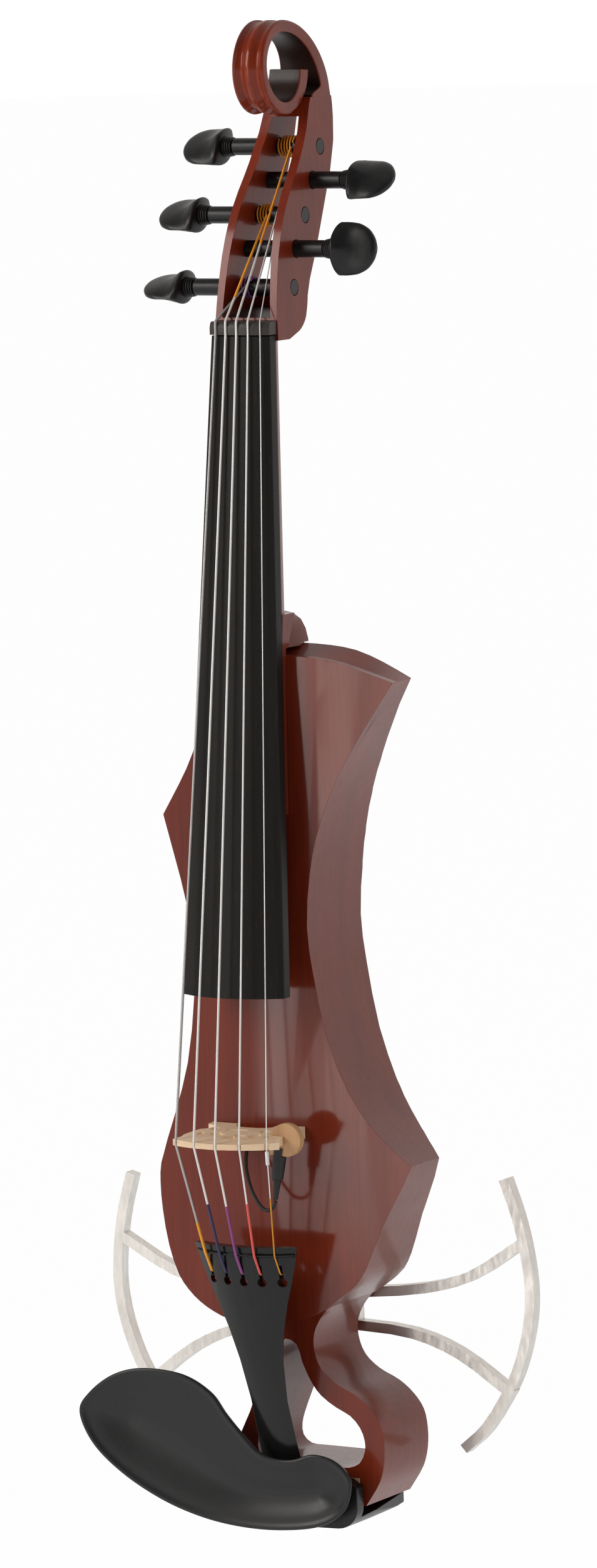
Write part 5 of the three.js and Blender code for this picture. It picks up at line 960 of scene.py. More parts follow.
@dataclass
class Studio:
    """Camera, floor, surroundings and lamps.

    Attributes:
        azimuth: the camera's bearing in radians.
        elevation: its height angle in radians.
        roll: its roll in radians.
        distance: distance from the point it is built round, in metres.
        focal: focal length in pixels of the photograph.
        frame: width and height of the photograph.
        centre: the photograph's principal point.
    """

    azimuth: float = 0.505821
    elevation: float = 0.114336
    roll: float = -0.026867
    distance: float = 3.550343
    focal: float = 13907.587
    frame: tuple[float, float] = (955.0, 2508.0)
    centre: tuple[float, float] = (397.952, 1280.128)

    def camera(self) -> None:
        """Sets the camera where the photograph was taken."""
        a, e, r = self.azimuth, self.elevation, self.roll
        back = Vector((math.sin(a) * math.cos(e), -math.cos(a) * math.cos(e), math.sin(e)))
        right = Vector((math.cos(a), math.sin(a), 0.0))
        up = back.cross(right)
        across = right * math.cos(r) + up * math.sin(r)
        upward = up * math.cos(r) - right * math.sin(r)
        data = bpy.data.cameras.new("camera")
        data.sensor_width = 36.0
        data.lens = self.focal / self.frame[1] * 36.0
        data.shift_x = (self.frame[0] / 2 - self.centre[0]) / self.frame[1]
        data.shift_y = (self.centre[1] - self.frame[1] / 2) / self.frame[1]
        data.clip_end = 30.0
        camera = bpy.data.objects.new("camera", data)
        spot = place(0.0, 0.0, -190.0) + back * self.distance
        camera.matrix_world = Matrix((
            (across.x, upward.x, back.x, spot.x),
            (across.y, upward.y, back.y, spot.y),
            (across.z, upward.z, back.z, spot.z),
            (0.0, 0.0, 0.0, 1.0),
        ))
        bpy.context.scene.collection.objects.link(camera)
        bpy.context.scene.camera = camera

    def floor(self) -> None:
        """Lays a plain pale floor well below the instrument."""
        work = bmesh.new()
        for x, y in ((-60, -20), (60, -20), (60, 90), (-60, 90)):
            work.verts.new((x, y, -0.9))
        work.faces.new(work.verts)
        mesh = bpy.data.meshes.new("floor")
        work.to_mesh(mesh)
        work.free()
        floor = bpy.data.objects.new("floor", mesh)
        bpy.context.scene.collection.objects.link(floor)
        material = bpy.data.materials.new("pale_floor")
        material.use_nodes = True
        bench = Bench(material.node_tree)
        bench.tree.nodes.clear()
        matt = bench.add("ShaderNodeBsdfDiffuse", color=(0.95, 0.95, 0.95, 1.0))
        glow = bench.add("ShaderNodeEmission", color=(1.0, 1.0, 1.0, 1.0), strength=1.0)
        path = bench.add("ShaderNodeLightPath")
        seen = bench.maths("MAXIMUM", path.outputs["Is Camera Ray"], bench.maths("MAXIMUM", path.outputs["Is Glossy Ray"], path.outputs["Is Transmission Ray"]))
        share = bench.maths("MULTIPLY", seen, 0.975)
        mix = bench.add("ShaderNodeMixShader")
        bench.join(share, mix.inputs[0])
        bench.join(matt.outputs[0], mix.inputs[1])
        bench.join(glow.outputs[0], mix.inputs[2])
        output = bench.add("ShaderNodeOutputMaterial")
        bench.join(mix.outputs[0], output.inputs[0])
        floor.data.materials.append(material)

    def surroundings(self, front: float = 0.07, behind: float = 0.95) -> None:
        """Surrounds the scene with white that is brighter behind the instrument than before it.

        Args:
            front: light from the photographer's side.
            behind: light from the backdrop's side.
        """
        world = bpy.data.worlds.new("studio")
        world.use_nodes = True
        bench = Bench(world.node_tree)
        bench.tree.nodes.clear()
        around = bench.add("ShaderNodeTexCoord")
        parts = bench.add("ShaderNodeSeparateXYZ")
        bench.join(around.outputs["Generated"], parts.inputs[0])
        share = bench.steps(parts.outputs["Y"], -0.6, 0.75)
        tone = bench.blend(share, (front, front, front), (behind, behind * 0.965, behind * 0.94))
        lit = bench.add("ShaderNodeBackground", strength=1.0)
        bench.join(tone, lit.inputs["Color"])
        plain = bench.add("ShaderNodeBackground", color=(1.0, 1.0, 1.0, 1.0), strength=1.0)
        path = bench.add("ShaderNodeLightPath")
        mix = bench.add("ShaderNodeMixShader")
        seen = bench.maths("MAXIMUM", path.outputs["Is Camera Ray"], path.outputs["Is Transmission Ray"])
        bench.join(seen, mix.inputs[0])
        bench.join(lit.outputs[0], mix.inputs[1])
        bench.join(plain.outputs[0], mix.inputs[2])
        output = bench.add("ShaderNodeOutputWorld")
        bench.join(mix.outputs[0], output.inputs[0])
        bpy.context.scene.world = world

    def lamp(self, name: str, spot: Point, aim: Point, size: tuple[float, float], power: float) -> None:
        """Sets a soft box.

        Args:
            name: the lamp's name.
            spot: where it stands.
            aim: what it points at.
            size: width and height.
            power: watts.
        """
        data = bpy.data.lights.new(name, "AREA")
        data.shape = "RECTANGLE"
        data.size, data.size_y = size
        data.energy = power
        data.color = (1.0, 0.965, 0.93)
        lamp = bpy.data.objects.new(name, data)
        lamp.location = spot
        lamp.rotation_euler = (Vector(aim) - Vector(spot)).to_track_quat("-Z", "Y").to_euler()
        bpy.context.scene.collection.objects.link(lamp)

    def build(self) -> None:
        """Sets up the whole studio."""
        self.camera()
        self.floor()
        self.surroundings()
        self.lamp("key_box", (-1.3, -1.7, 0.75), (0, 0, -0.3), (0.9, 1.3), 30.0)
        self.lamp("strip_box", (-0.98, -2.2, -0.4), (0, 0, -0.3), (0.24, 1.3), 4.8)
        self.lamp("fill_box", (2.4, -1.0, 0.2), (0, 0, -0.3), (0.6, 2.2), 6.0)
        bpy.context.scene.view_settings.view_transform = "Standard"


@dataclass
class PickupLead:
    """The thin lead from the pickup's sleeve to the plate.

    Attributes:
        radius: half its thickness in metres.
        route: the points it follows, in millimetres from the nut.
    """

    radius: float = 0.00075
    route: tuple[Point, ...] = (
        (15.8, -15, -352.5), (15.5, -15, -353.4), (14.6, -14.9, -355), (12.6, -14.6, -356.5), (10, -14.3, -356.3),
        (7.4, -13.8, -354.4), (5.2, -13.2, -351.6), (3.2, -12.4, -348.6), (1.4, -11.4, -345), (0, -10.2, -341.8),
        (-1, -8.8, -338.6), (-1.8, -7, -335.8), (-2.4, -4.9, -333.4), (-2.8, -2.6, -332), (-3, -0.4, -331.4),
        (-3, 1.6, -331.2), (-3, 3.4, -331.2),
    )

    def build(self, shop: Workshop) -> None:
        points = [place(*p) for p in self.route]
        line = smooth_line(points, 4)
        tube = shop.thread("pickup_lead_tube", line, self.radius, 12)
        shop.settle(tube, "lead_rubber", "pickup_lead")


@dataclass
class Scroll:
    """The pegbox with the open scroll: a ring with two flutes that runs into the strip behind it.

    Attributes:
        eye: depth and height of the eye.
        outer: outer radius of the ring.
        inner: inner reaches of the ring across and up.
        back_outer: outer reaches of the back run, and its centre's height.
        back_inner: inner reaches of the back run, and its centre's height.
        tail: outer and inner reach of the tail.
        cut: height of the tail's end.
        seat: height where the pegbox ends.
        foot: height where the strip starts inside the pegbox.
        widths: half widths at the pegbox, at the top and at the bottom of the ring.
        flute: depth, half width and distance from the middle of a flute.
    """

    eye: tuple[float, float] = (34.0, 107.2)
    outer: float = 19.2
    inner: tuple[float, float] = (15.0, 14.3)
    back_outer: Point = (33.5, 28.4, 98.0)
    back_inner: Point = (25.8, 21.5, 100.0)
    tail: tuple[float, float] = (20.3, 13.0)
    cut: float = 105.5
    seat: float = 94.3
    foot: float = 90.0
    widths: Point = (9.84, 6.7, 7.75)
    flute: Point = (1.75, 3.1, 3.65)
    web: float = 8.4
    inside: int = 6

    def station(self, turn: float) -> tuple[Point, Point, float, float]:
        """The strip at one bearing about the eye.

        Args:
            turn: bearing in degrees, 0 at the back, 90 at the top, 270 at the bottom.

        Returns:
            Outer point, inner point, half width and how deep the flutes are, as a share.
        """
        a = math.radians(turn)
        y, z = self.eye
        if turn < 0:
            drop = -turn / 10 * (self.back_outer[2] - self.foot)
            level = self.back_outer[2] - drop
            outer = (y + self.back_outer[0] + 0.34 * eased_share(drop / 3.6), level)
            inner = (y + self.back_inner[0] - self.web * eased_share((drop - 1.2) / 4.0), level + 2.0)
        elif turn < 90:
            outer = (y + self.back_outer[0] * math.cos(a), self.back_outer[2] + self.back_outer[1] * math.sin(a))
            inner = (y + self.back_inner[0] * math.cos(a), self.back_inner[2] + self.back_inner[1] * math.sin(a))
        elif turn < 270:
            outer = (y + self.outer * math.cos(a), z + self.outer * math.sin(a))
            inner = (y + self.inner[0] * math.cos(a), z + self.inner[1] * math.sin(a))
        else:
            outer = (y + self.tail[0] * math.cos(a), z + self.outer * math.sin(a))
            inner = (y + self.tail[1] * math.cos(a), z + self.inner[1] * math.sin(a))
        top = z + self.outer
        ring = self.widths[1] + (self.widths[2] - self.widths[1]) * (top - outer[1]) / (2 * self.outer)
        foot = self.widths[0] - 0.075 * (outer[1] - self.seat)
        half = foot + (ring - foot) * eased_share((turn + 4) / 82)
        depth = eased_share((turn + 6) / 14) * (1 - eased_share((turn - 262) / 30))
        return outer, inner, half, depth

    def section(self, turn: float, shrink: float = 0.0) -> list[Vector]:
        """One closed section of the strip.

        Args:
            turn: bearing in degrees.
            shrink: how far the section is drawn in, in millimetres.

        Returns:
            Its points.
        """
        (oy, oz), (iy, iz), half, share = self.station(turn)
        thick = math.hypot(oy - iy, oz - iz)
        out_y, out_z = (oy - iy) / thick, (oz - iz) / thick
        half -= shrink
        low, high = shrink, thick - shrink
        soft, rim = 0.5, 0.6 + 0.35 * eased_share((turn + 2) / 24)
        deep, wide, apart = self.flute
        profile: list[tuple[float, float]] = []
        for k in range(7):
            profile.append((-(half - soft) + (half - soft) * 2 * k / 6, low))
        for k in range(1, 4):
            b = math.radians(30 * k)
            profile.append((half - soft + soft * math.sin(b), low + soft - soft * math.cos(b)))
        for k in range(0, 4):
            b = math.radians(30 * k)
            profile.append((half - rim + rim * math.cos(b), high - rim + rim * math.sin(b)))
        count = 36
        for k in range(1, count):
            x = (half - rim) * (1 - 2 * k / count)
            near = abs(abs(x) - apart) / wide
            groove = deep * share * (0.5 + 0.5 * math.cos(math.pi * near)) ** 0.8 if near < 1 else 0.0
            profile.append((x, high - groove))
        for k in range(3, -1, -1):
            b = math.radians(30 * k)
            profile.append((-(half - rim) - rim * math.cos(b), high - rim + rim * math.sin(b)))
        for k in range(3, 0, -1):
            b = math.radians(30 * k)
            profile.append((-(half - soft) - soft * math.sin(b), low + soft - soft * math.cos(b)))
        return [place(x, iy + out_y * v, iz + out_z * v) for x, v in profile]

    def build(self, shop: Workshop) -> None:
        """Makes the scroll's strip and cuts it from the pegbox's copy."""
        end = 360 + math.degrees(math.asin((self.cut - self.eye[1]) / self.outer))
        turns = [-10, -8, -6, -5, -4, -3, -2, -1, *range(0, 344, 3), 345, 348, 351, 353.6]
        rings = [self.section(turn) for turn in turns if turn < end - 0.8]
        rings.append(self.section(end - 0.9))
        rings.append(self.section(end, 0.35))
        strip = shop.lofted("scroll_strip", rings)
        shop.ride_with(strip, "scroll_lacquer", "pegbox_scroll")
        # The strip's inner faces, which face the eye, get the near-black lacquer.
        shop.shade(strip, "scroll_inside", lambda face: face.index % len(rings[0]) < self.inside)
        work = shop.copied("pegbox_scroll")
        for spot, normal in (
            (place(0, 50, self.seat), Vector((0, 0, 1))),
            (place(0, 50, self.seat + 0.1), Vector((0, -8.4, 10)).normalized()),
        ):
            geometry = [*work.verts, *work.edges, *work.faces]
            bmesh.ops.bisect_plane(work, geom=geometry, plane_co=spot, plane_no=normal, clear_outer=True)
            bmesh.ops.holes_fill(work, edges=[e for e in work.edges if e.is_boundary], sides=0)
        top = place(0, 0, self.seat - 0.4).z
        heel = [
            e for e in work.edges
            if len(e.link_faces) == 2 and e.calc_face_angle(0.0) > math.radians(9) and e.calc_length() > 15 * MM
            and all(v.co.z < place(0, 0, 14).z and v.co.y > place(0, 22, 0).y for v in e.verts)
            and abs((e.verts[0].co - e.verts[1].co).normalized().x) > 0.95
        ]
        bmesh.ops.bevel(work, geom=heel, offset=4.2 * MM, offset_type="OFFSET", segments=6, profile=0.5, affect="EDGES", clamp_overlap=True)
        shop.eased(work, 0.6 * MM, 32.0, 3, lambda spot: spot.z < top)
        cheeks = shop.finished("pegbox_cheeks", work)
        shop.settle(cheeks, "scroll_lacquer", "pegbox_scroll")
        # Painted shade: the pegbox floor under the pegs gets the near-black lacquer, darker than the lacquer round it.
        low, floor = place(0, 0, 0.5).z, place(0, 0, 14).z
        shop.shade(cheeks, "scroll_inside", lambda face: low < face.center.z < floor and abs(face.center.x) < 11 * MM and face.normal.z > 0.4)


@dataclass(frozen=True)
class Peg:
    """One geared peg: where it crosses the pegbox, how its head is turned and what it winds.

    Attributes:
        name: the peg's letter.
        side: -1 for a head on the side of the thickest string.
        depth: depth of its axis.
        height: height of its axis.
        casing: length of its casing outside the cheek.
        turn: how far its head is turned, in degrees.
        start: where its winding starts.
        turns: turns of the winding.
        string: number of its string.
        silk: the winding's finish.
    """

    name: str
    side: int
    depth: float
    height: float
    casing: float
    turn: float
    start: float
    turns: int
    string: int
    silk: str


PEGS = (
    Peg("a", -1, 54.6, 74.0, 17.0, 51, 0.8, 5, 3, "orange_thread"),
    Peg("b", -1, 38.3, 46.8, 18.9, 58, -2.2, 4, 2, "orange_thread"),
    Peg("c", -1, 25.3, 18.0, 18.4, 67, -4.7, 3, 1, "violet_thread"),
    Peg("d", 1, 46.6, 60.6, 14.0, 48, 2.5, 3, 4, "wound_steel"),
    Peg("e", 1, 29.0, 33.5, 13.6, 8, 4.5, 3, 5, "plain_steel"),
)


@dataclass
class PegHeads:
    """The heads of the geared pegs, each with a beaded collar and a flat grip.

    Attributes:
        collar: length of the collar.
        beads: radii of the collar's beads from the casing outwards.
        groove: how deep the grooves between them are.
        head: length, half width and half thickness of the grip.
        shares: along, width and thickness of the grip, as shares.
    """

    collar: float = 3.9
    beads: tuple[float, ...] = (3.95, 4.15, 4.35, 4.6)
    groove: float = 0.5
    head: Point = (19.2, 10.9, 6.7)
    shares: tuple[Point, ...] = (
        (0.0, 0.42, 0.7), (0.02, 0.62, 0.9), (0.06, 0.88, 1.0), (0.12, 0.99, 0.98), (0.21, 1.0, 0.82),
        (0.32, 1.0, 0.63), (0.46, 0.98, 0.48), (0.62, 0.925, 0.39), (0.81, 0.74, 0.32), (0.94, 0.45, 0.25),
        (1.0, 0.16, 0.12),
    )

    def ring(self, peg: Peg, x: float, wide: float, thick: float, power: float) -> list[Vector]:
        """One section of a head.

        Args:
            peg: which peg.
            x: distance from the middle of the pegbox.
            wide: half width.
            thick: half thickness.
            power: 2 for an ellipse, more for a boxier section.

        Returns:
            Its points.
        """
        turn = math.radians(peg.turn)
        ring = []
        count = 36
        for k in range(count):
            a = 2 * math.pi * k / count
            u = wide * math.copysign(abs(math.cos(a)) ** (2 / power), math.cos(a))
            v = thick * math.copysign(abs(math.sin(a)) ** (2 / power), math.sin(a))
            y = peg.depth + u * math.sin(turn) + v * math.cos(turn)
            z = peg.height + u * math.cos(turn) - v * math.sin(turn)
            ring.append(place(peg.side * x, y, z))
        return ring

    def build(self, shop: Workshop) -> None:
        """Makes the five heads."""
        for peg in PEGS:
            start = 14.4 - 3.0 * peg.height / 74 + peg.casing + 0.3
            rings = []
            step = self.collar / len(self.beads)
            for k, radius in enumerate(self.beads):
                for share in (0.0, 0.12, 0.3, 0.5, 0.7, 0.88):
                    bow = math.sin(math.pi * share) ** 0.6 if share > 0 else 0.0
                    size = radius - self.groove * (1 - bow)
                    rings.append(self.ring(peg, start + (k + share) * step, size, size, 2.0))
            length, wide, thick = self.head
            for along, width, depth in shared(self.shares, 4):
                power = 2.0 - 0.6 * eased_share(along / 0.12) + 1.1 * eased_share((along - 0.3) / 0.55)
                x = start + self.collar + min(along, 1.0) * length
                rings.append(self.ring(peg, x, wide * width, thick * depth, power))
            head = shop.lofted(f"peg_grip_{peg.name}", rings)
            shop.settle(head, "peg_satin", f"peg_head_{peg.name}")


@dataclass
class StringSet:
    """Strings with their silk ends and the windings on the pegs.

    Attributes:
        radii: radius of each string.
        metals: finish of each string.
        lower: finish and upper height of each silk above the tailpiece.
        upper: string number, finish and lower height of the silks in the pegbox.
        sleeve: how much thicker a silk is than its string, on the radius.
        barrel: radius of a winding's centre line.
        thread: radius of the wound thread.
        pitch: distance between two turns.
        run: straight run at both ends of a winding.
    """

    radii: tuple[float, ...] = (0.55, 0.5, 0.48, 0.4, 0.22)
    metals: tuple[str, ...] = ("dark_steel", "wound_steel", "wound_steel", "wound_steel", "plain_steel")
    lower: tuple[tuple[str, float], ...] = (
        ("orange_thread", -361.7), ("navy_thread", -352.8), ("magenta_thread", -353.1), ("coral_thread", -351.8),
        ("amber_thread", -349.5),
    )
    upper: tuple[tuple[int, str, float], ...] = ((2, "orange_thread", 14.8), (3, "orange_thread", 35.7))
    sleeve: float = 0.1
    barrel: float = 4.25
    thread: float = 0.36
    pitch: float = 1.35
    run: float = 0.9

    def winding(self, shop: Workshop, peg: Peg, back: Vector) -> None:
        """Makes the winding of one peg.

        Args:
            shop: the workshop.
            peg: which peg.
            back: where its string leaves the nut.
        """
        axis = place(0, peg.depth, peg.height)
        reach_y, reach_z = (axis.y - back.y) / MM, (axis.z - back.z) / MM
        first = math.atan2(-reach_z, -reach_y) - math.acos(self.barrel / math.hypot(reach_y, reach_z))
        route = []
        around = 40
        for k in range(peg.turns * around + 1):
            turned = k / around
            a = first - turned * 2 * math.pi
            x = peg.start + peg.side * turned * self.pitch
            route.append(place(x, peg.depth + self.barrel * math.cos(a), peg.height + self.barrel * math.sin(a)))
        before = (route[0] - route[1]).normalized() * self.run * MM
        after = (route[-1] - route[-2]).normalized() * self.run * MM
        route = [route[0] + before, *route, route[-1] + after]
        coil = shop.thread(f"winding_{peg.name}", route, self.thread * MM, 10)
        shop.settle(coil, peg.silk, f"string_winding_{peg.name}")

    def build(self, shop: Workshop) -> None:
        """Makes all strings, silks and windings."""
        routes = {}
        for i, (radius, metal) in enumerate(zip(self.radii, self.metals)):
            node = f"string_{i + 1}"
            routes[i + 1] = shop.spine(node)
            line = bent(routes[i + 1], 0.9 * MM)
            string = shop.thread(f"string_wire_{i + 1}", line, radius * MM, 12)
            shop.settle(string, metal, node)
            finish, top = self.lower[i]
            part = between(line, place(0, 0, top).z, line[-1].z - 1)
            silk = shop.thread(f"lower_silk_{i + 1}", part, (radius + self.sleeve) * MM, 12)
            shop.ride_with(silk, finish, node)
        for number, finish, bottom in self.upper:
            line = bent(routes[number], 0.9 * MM)
            part = between(line, line[0].z + 1, place(0, 0, bottom).z)
            silk = shop.thread(f"upper_silk_{number}", part, (self.radii[number - 1] + 0.04) * MM, 12)
            shop.ride_with(silk, finish, f"string_{number}")
        for peg in PEGS:
            self.winding(shop, peg, routes[peg.string][1])


@dataclass
class ChinRest:
    """The chin rest's plate with its rim and dish.

    Attributes:
        left: left end of the plate.
        top: its upper end.
        size: width and height.
        front: depth of its front at the instrument's middle.
        tilt: how far it is turned about the upright, in degrees.
        outline: share of the width from the left and of the height from the top.
        hollow: the line the dish is deepest along, in the same shares.
        steps: inset and depth of each ring from the back over the rim into the dish.
        dish: share of the way to the hollow, and depth.
    """

    left: float = -79.8
    top: float = -426.0
    size: tuple[float, float] = (123.0, 65.0)
    front: float = -10.0
    tilt: float = 4.3
    outline: tuple[tuple[float, float], ...] = (
        (0.002, 0.306), (0.041, 0.175), (0.132, 0.051), (0.244, 0), (0.389, 0.026), (0.492, 0.131),
        (0.548, 0.265), (0.605, 0.388), (0.661, 0.491), (0.719, 0.534), (0.785, 0.535), (0.858, 0.495),
        (0.93, 0.52), (0.98, 0.591), (0.999, 0.68), (0.97, 0.85), (0.88, 0.955), (0.741, 0.994),
        (0.595, 0.989), (0.449, 0.942), (0.302, 0.845), (0.158, 0.691), (0.05, 0.508),
    )
    hollow: tuple[tuple[float, float], ...] = ((0.2, 0.36), (0.36, 0.5), (0.5, 0.66), (0.64, 0.765), (0.86, 0.745))
    steps: tuple[tuple[float, float], ...] = (
        (3.6, 6.4), (3.1, 5.9), (1.6, 4.2), (0.6, 2.4), (0.1, 1.0), (0.0, 0.45), (0.12, 0.1), (0.45, -0.2),
        (0.95, -0.36), (1.5, -0.3), (2.1, 0.0), (2.7, 0.28), (3.4, 0.45), (4.6, 0.62),
    )
    dish: tuple[tuple[float, float], ...] = (
        (0.1, 0.85), (0.22, 1.25), (0.36, 1.8), (0.5, 2.35), (0.64, 2.8), (0.78, 3.1), (0.9, 3.25),
    )

    def flat(self, across: float, down: float) -> Vector:
        """A point of the plate's plane from its shares."""
        return Vector((self.left + across * self.size[0], self.top - down * self.size[1]))

    def lifted(self, spot: Vector, depth: float) -> Vector:
        """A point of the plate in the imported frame.

        Args:
            spot: across and up.
            depth: how far behind the front plane.

        Returns:
            The point.
        """
        a = math.radians(self.tilt)
        x = spot.x * math.cos(a) - depth * math.sin(a)
        y = spot.x * math.sin(a) + depth * math.cos(a)
        return place(x, y + self.front, spot.y)

    def build(self, shop: Workshop) -> None:
        """Makes the plate."""
        edge = looped([self.flat(*row) for row in self.outline], 9)
        count = len(edge)
        inward = []
        for i in range(count):
            along = (edge[(i + 2) % count] - edge[i - 2]).normalized()
            inward.append(Vector((along.y, -along.x)))
        middle = sum(edge, Vector((0.0, 0.0))) / count
        if inward[0].dot(middle - edge[0]) < 0:
            inward = [-way for way in inward]
        line = smooth_line([self.flat(*row) for row in self.hollow], 24)
        rings = [[self.lifted(p + way * inset, depth) for p, way in zip(edge, inward)] for inset, depth in self.steps]
        inset, rim = self.steps[-1]
        inner = [p + way * inset for p, way in zip(edge, inward)]
        nearest = [min(range(len(line)), key=lambda k: (line[k] - p).length) for p in inner]
        for _ in range(30):
            nearest = [
                (nearest[i - 1] + nearest[i] * 2 + nearest[(i + 1) % count]) / 4 for i in range(count)
            ]
        targets = [line[min(int(round(k)), len(line) - 1)] for k in nearest]
        for share, depth in self.dish:
            rings.append([self.lifted(p.lerp(goal, share), depth) for p, goal in zip(inner, targets)])
        plate = shop.lofted("chin_rest_dish", rings)
        shop.settle(plate, "chin_rest_satin", "chin_rest_plate")


@dataclass
class Body:
    """Top plate and core, with their joint closed to a fine line and soft outer edges.

    Attributes:
        joint: how far the plate's back is let down towards the core.
        front_edge: width of the plate's eased edge.
        back_edge: width of the core's eased edges.
    """

    joint: float = 0.27
    front_edge: float = 1.3
    back_edge: float = 1.2

    def build(self, shop: Workshop) -> None:
        """Makes both pieces."""
        plate = shop.copied("top_plate")
        plate.normal_update()
        behind = {v for f in plate.faces if f.normal.y > 0.8 for v in f.verts}
        for vert in behind:
            vert.co.y += self.joint * MM
        marks = {tuple(round(c, 6) for c in v.co) for v in behind}
        edges = [e for e in plate.edges if len(e.link_faces) == 2 and e.calc_face_angle(0.0) > math.radians(32)
                 and not all(tuple(round(c, 6) for c in v.co) in marks for v in e.verts)]
        bmesh.ops.bevel(plate, geom=edges, offset=self.front_edge * MM, offset_type="OFFSET", segments=3, profile=0.6, affect="EDGES", clamp_overlap=True)
        shop.settle(shop.finished("top_plate_worked", plate), "body_lacquer", "top_plate")
        core = shop.copied("body_core")
        core.normal_update()
        front = {v for f in core.faces if f.normal.y < -0.8 for v in f.verts}
        edges = [e for e in core.edges if len(e.link_faces) == 2 and e.calc_face_angle(0.0) > math.radians(32)
                 and not all(v in front for v in e.verts)]
        bmesh.ops.bevel(core, geom=edges, offset=self.back_edge * MM, offset_type="OFFSET", segments=3, profile=0.6, affect="EDGES", clamp_overlap=True)
        shop.settle(shop.finished("body_core_worked", core), "body_lacquer", "body_core")


@dataclass
class Tailpiece:
    """Tailpiece with round long edges below the string slots.

    Attributes:
        slots: height above which the edges stay fine.
        long_edge: width of the eased long edges.
        fine_edge: width of the eased edges at the slots.
    """

    slots: float = -392.0
    long_edge: float = 1.5
    fine_edge: float = 0.4

    def build(self, shop: Workshop) -> None:
        """Makes the tailpiece."""
        work = shop.copied("tailpiece")
        limit = place(0.0, 0.0, self.slots).z
        shop.eased(work, self.long_edge * MM, segments=4, where=lambda spot: spot.z < limit)
        shop.eased(work, self.fine_edge * MM, where=lambda spot: spot.z >= limit)
        shop.settle(shop.finished("tailpiece_worked", work), "tailpiece_satin", "tailpiece")


@dataclass
class Bridge:
    """The bridge with its cut-outs.

    Attributes:
        holes: across, depth and the half sizes of each cut-out.
        span: lower and upper height of the cutting pieces.
    """

    holes: tuple[tuple[float, float, float, float], ...] = (
        (-6.6, -19.4, 1.9, 1.5), (2.6, -20.0, 2.6, 1.7), (-3.6, -10.6, 5.2, 1.7), (-14.2, -10.4, 1.7, 2.6),
        (9.4, -11.0, 2.4, 1.8), (14.6, -18.6, 1.5, 2.4), (-16.0, -19.6, 1.4, 2.2),
    )
    span: tuple[float, float] = (-333.0, -320.0)

    def build(self, shop: Workshop) -> None:
        """Makes the bridge."""
        work = shop.copied("bridge")
        shop.eased(work, 0.3 * MM)
        blank = shop.finished("bridge_blank", work)
        cutters = bmesh.new()
        count = 20
        for x, y, wide, deep in self.holes:
            rows = []
            for z in self.span:
                turns = [2 * math.pi * k / count for k in range(count)]
                rows.append([cutters.verts.new(place(x + wide * math.cos(a), y + deep * math.sin(a), z)) for a in turns])
            for i in range(count):
                j = (i + 1) % count
                cutters.faces.new((rows[0][i], rows[0][j], rows[1][j], rows[1][i]))
            cutters.faces.new(rows[0][::-1])
            cutters.faces.new(rows[1])
        cutter = shop.finished("bridge_cutter", cutters)
        blank.modifiers.clear()
        cut = blank.modifiers.new("cut", "BOOLEAN")
        cut.operation = "DIFFERENCE"
        cut.object = cutter
        bpy.context.view_layer.update()
        mesh = bpy.data.meshes.new_from_object(blank.evaluated_get(bpy.context.evaluated_depsgraph_get()))
        for spare in (cutter, blank):
            bpy.data.objects.remove(spare)
        work = bmesh.new()
        work.from_mesh(mesh)
        shop.settle(shop.finished("bridge_carved", work), "maple", "bridge")


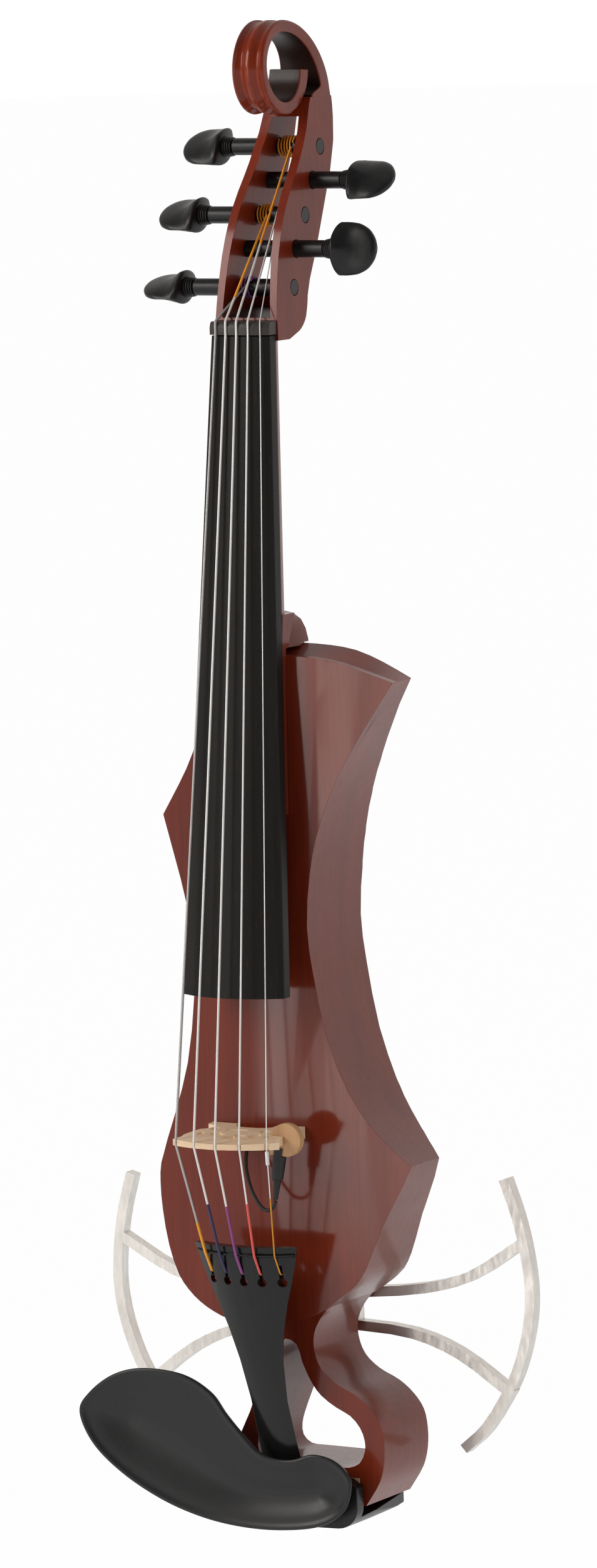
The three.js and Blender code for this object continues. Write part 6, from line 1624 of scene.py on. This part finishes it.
@dataclass
class Carried:
    """Nodes whose own shape is kept and worked: eased edges and a finish each.

    Attributes:
        plan: node, width of the eased edge in millimetres and finish.
    """

    plan: tuple[tuple[str, float, str], ...] = (
        ("fingerboard", 0.5, "ebony"), ("nut", 0.5, "nut_wood"), ("neck", 0.8, "body_lacquer"),
        ("pegbox_scroll", 0.5, "scroll_lacquer"), ("top_plate", 0.5, "body_lacquer"), ("body_core", 0.6, "body_lacquer"),
        ("tail_loop", 0.8, "body_lacquer"), ("bridge", 0.3, "maple"), ("pickup_disc", 0.25, "disc_wood"),
        ("pickup_sleeve", 0.15, "lead_rubber"), ("tailpiece", 0.4, "tailpiece_satin"), ("tail_gut", 0.0, "gut_cord"),
        ("tail_saddle", 0.4, "fitting_satin"), ("end_button", 0.3, "fitting_satin"),
        ("chin_rest_plate", 0.5, "chin_rest_satin"), ("chin_rest_strap", 0.6, "clamp_enamel"),
        ("chin_rest_cork", 0.0, "cork_sheet"), ("clamp_jaw", 0.5, "clamp_enamel"), ("jaw_cork", 0.0, "cork_sheet"),
        ("clamp_screw", 0.12, "screw_metal"), ("shoulder_frame", 0.5, "frame_brushed"), ("frame_screw_1", 0.2, "screw_metal"),
        ("frame_screw_2", 0.2, "screw_metal"), ("back_cover", 0.3, "cover_satin"), ("cover_screw_1", 0.12, "screw_metal"),
        ("cover_screw_2", 0.12, "screw_metal"), ("volume_potentiometer", 0.2, "nickel_plate"),
        ("tone_potentiometer", 0.2, "nickel_plate"), ("volume_knob", 0.4, "knob_satin"), ("tone_knob", 0.4, "knob_satin"),
        ("circuit_board", 0.1, "board_mask"), ("battery", 0.4, "battery_can"), ("output_jack", 0.25, "nickel_plate"),
        ("string_tube", 0.1, "white_sleeve"),
        *((f"peg_casing_{name}", 0.3, "peg_satin") for name in "abcde"),
        *((f"peg_shaft_{name}", 0.2, "peg_satin") for name in "abcde"),
        *((f"peg_head_{name}", 0.0, "peg_satin") for name in "abcde"),
        ("string_winding_a", 0.0, "orange_thread"), ("string_winding_b", 0.0, "orange_thread"),
        ("string_winding_c", 0.0, "violet_thread"), ("string_winding_d", 0.0, "wound_steel"),
        ("string_winding_e", 0.0, "plain_steel"),
        *((f"string_{count}", 0.0, "wound_steel") for count in (1, 2, 3, 4)), ("string_5", 0.0, "plain_steel"),
    )

    def build(self, shop: Workshop, skip: set[str]) -> None:
        """Works each node that no other piece replaces.

        Args:
            shop: the workshop.
            skip: nodes that have their own pieces.
        """
        for node, edge, finish in self.plan:
            if node not in skip:
                shop.worked(node, edge * MM, finish)


def main() -> None:
    """Builds the studio and every sub-assembly in order."""
    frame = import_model()
    shop = Shop()
    shop.stock()
    workshop = Workshop(frame, shop)
    Studio().build()
    LOG.info("studio set")
    PickupLead().build(workshop)
    own = {"pickup_lead", "pegbox_scroll", "chin_rest_plate", "top_plate", "body_core", "bridge", "tailpiece"}
    own |= {f"peg_head_{peg.name}" for peg in PEGS} | {f"string_winding_{peg.name}" for peg in PEGS}
    own |= {f"string_{peg.string}" for peg in PEGS}
    Scroll().build(workshop)
    PegHeads().build(workshop)
    StringSet().build(workshop)
    ChinRest().build(workshop)
    Body().build(workshop)
    Bridge().build(workshop)
    Tailpiece().build(workshop)
    Carried().build(workshop, own)
    LOG.info("carried pieces worked")


if __name__ == "__main__":
    main()
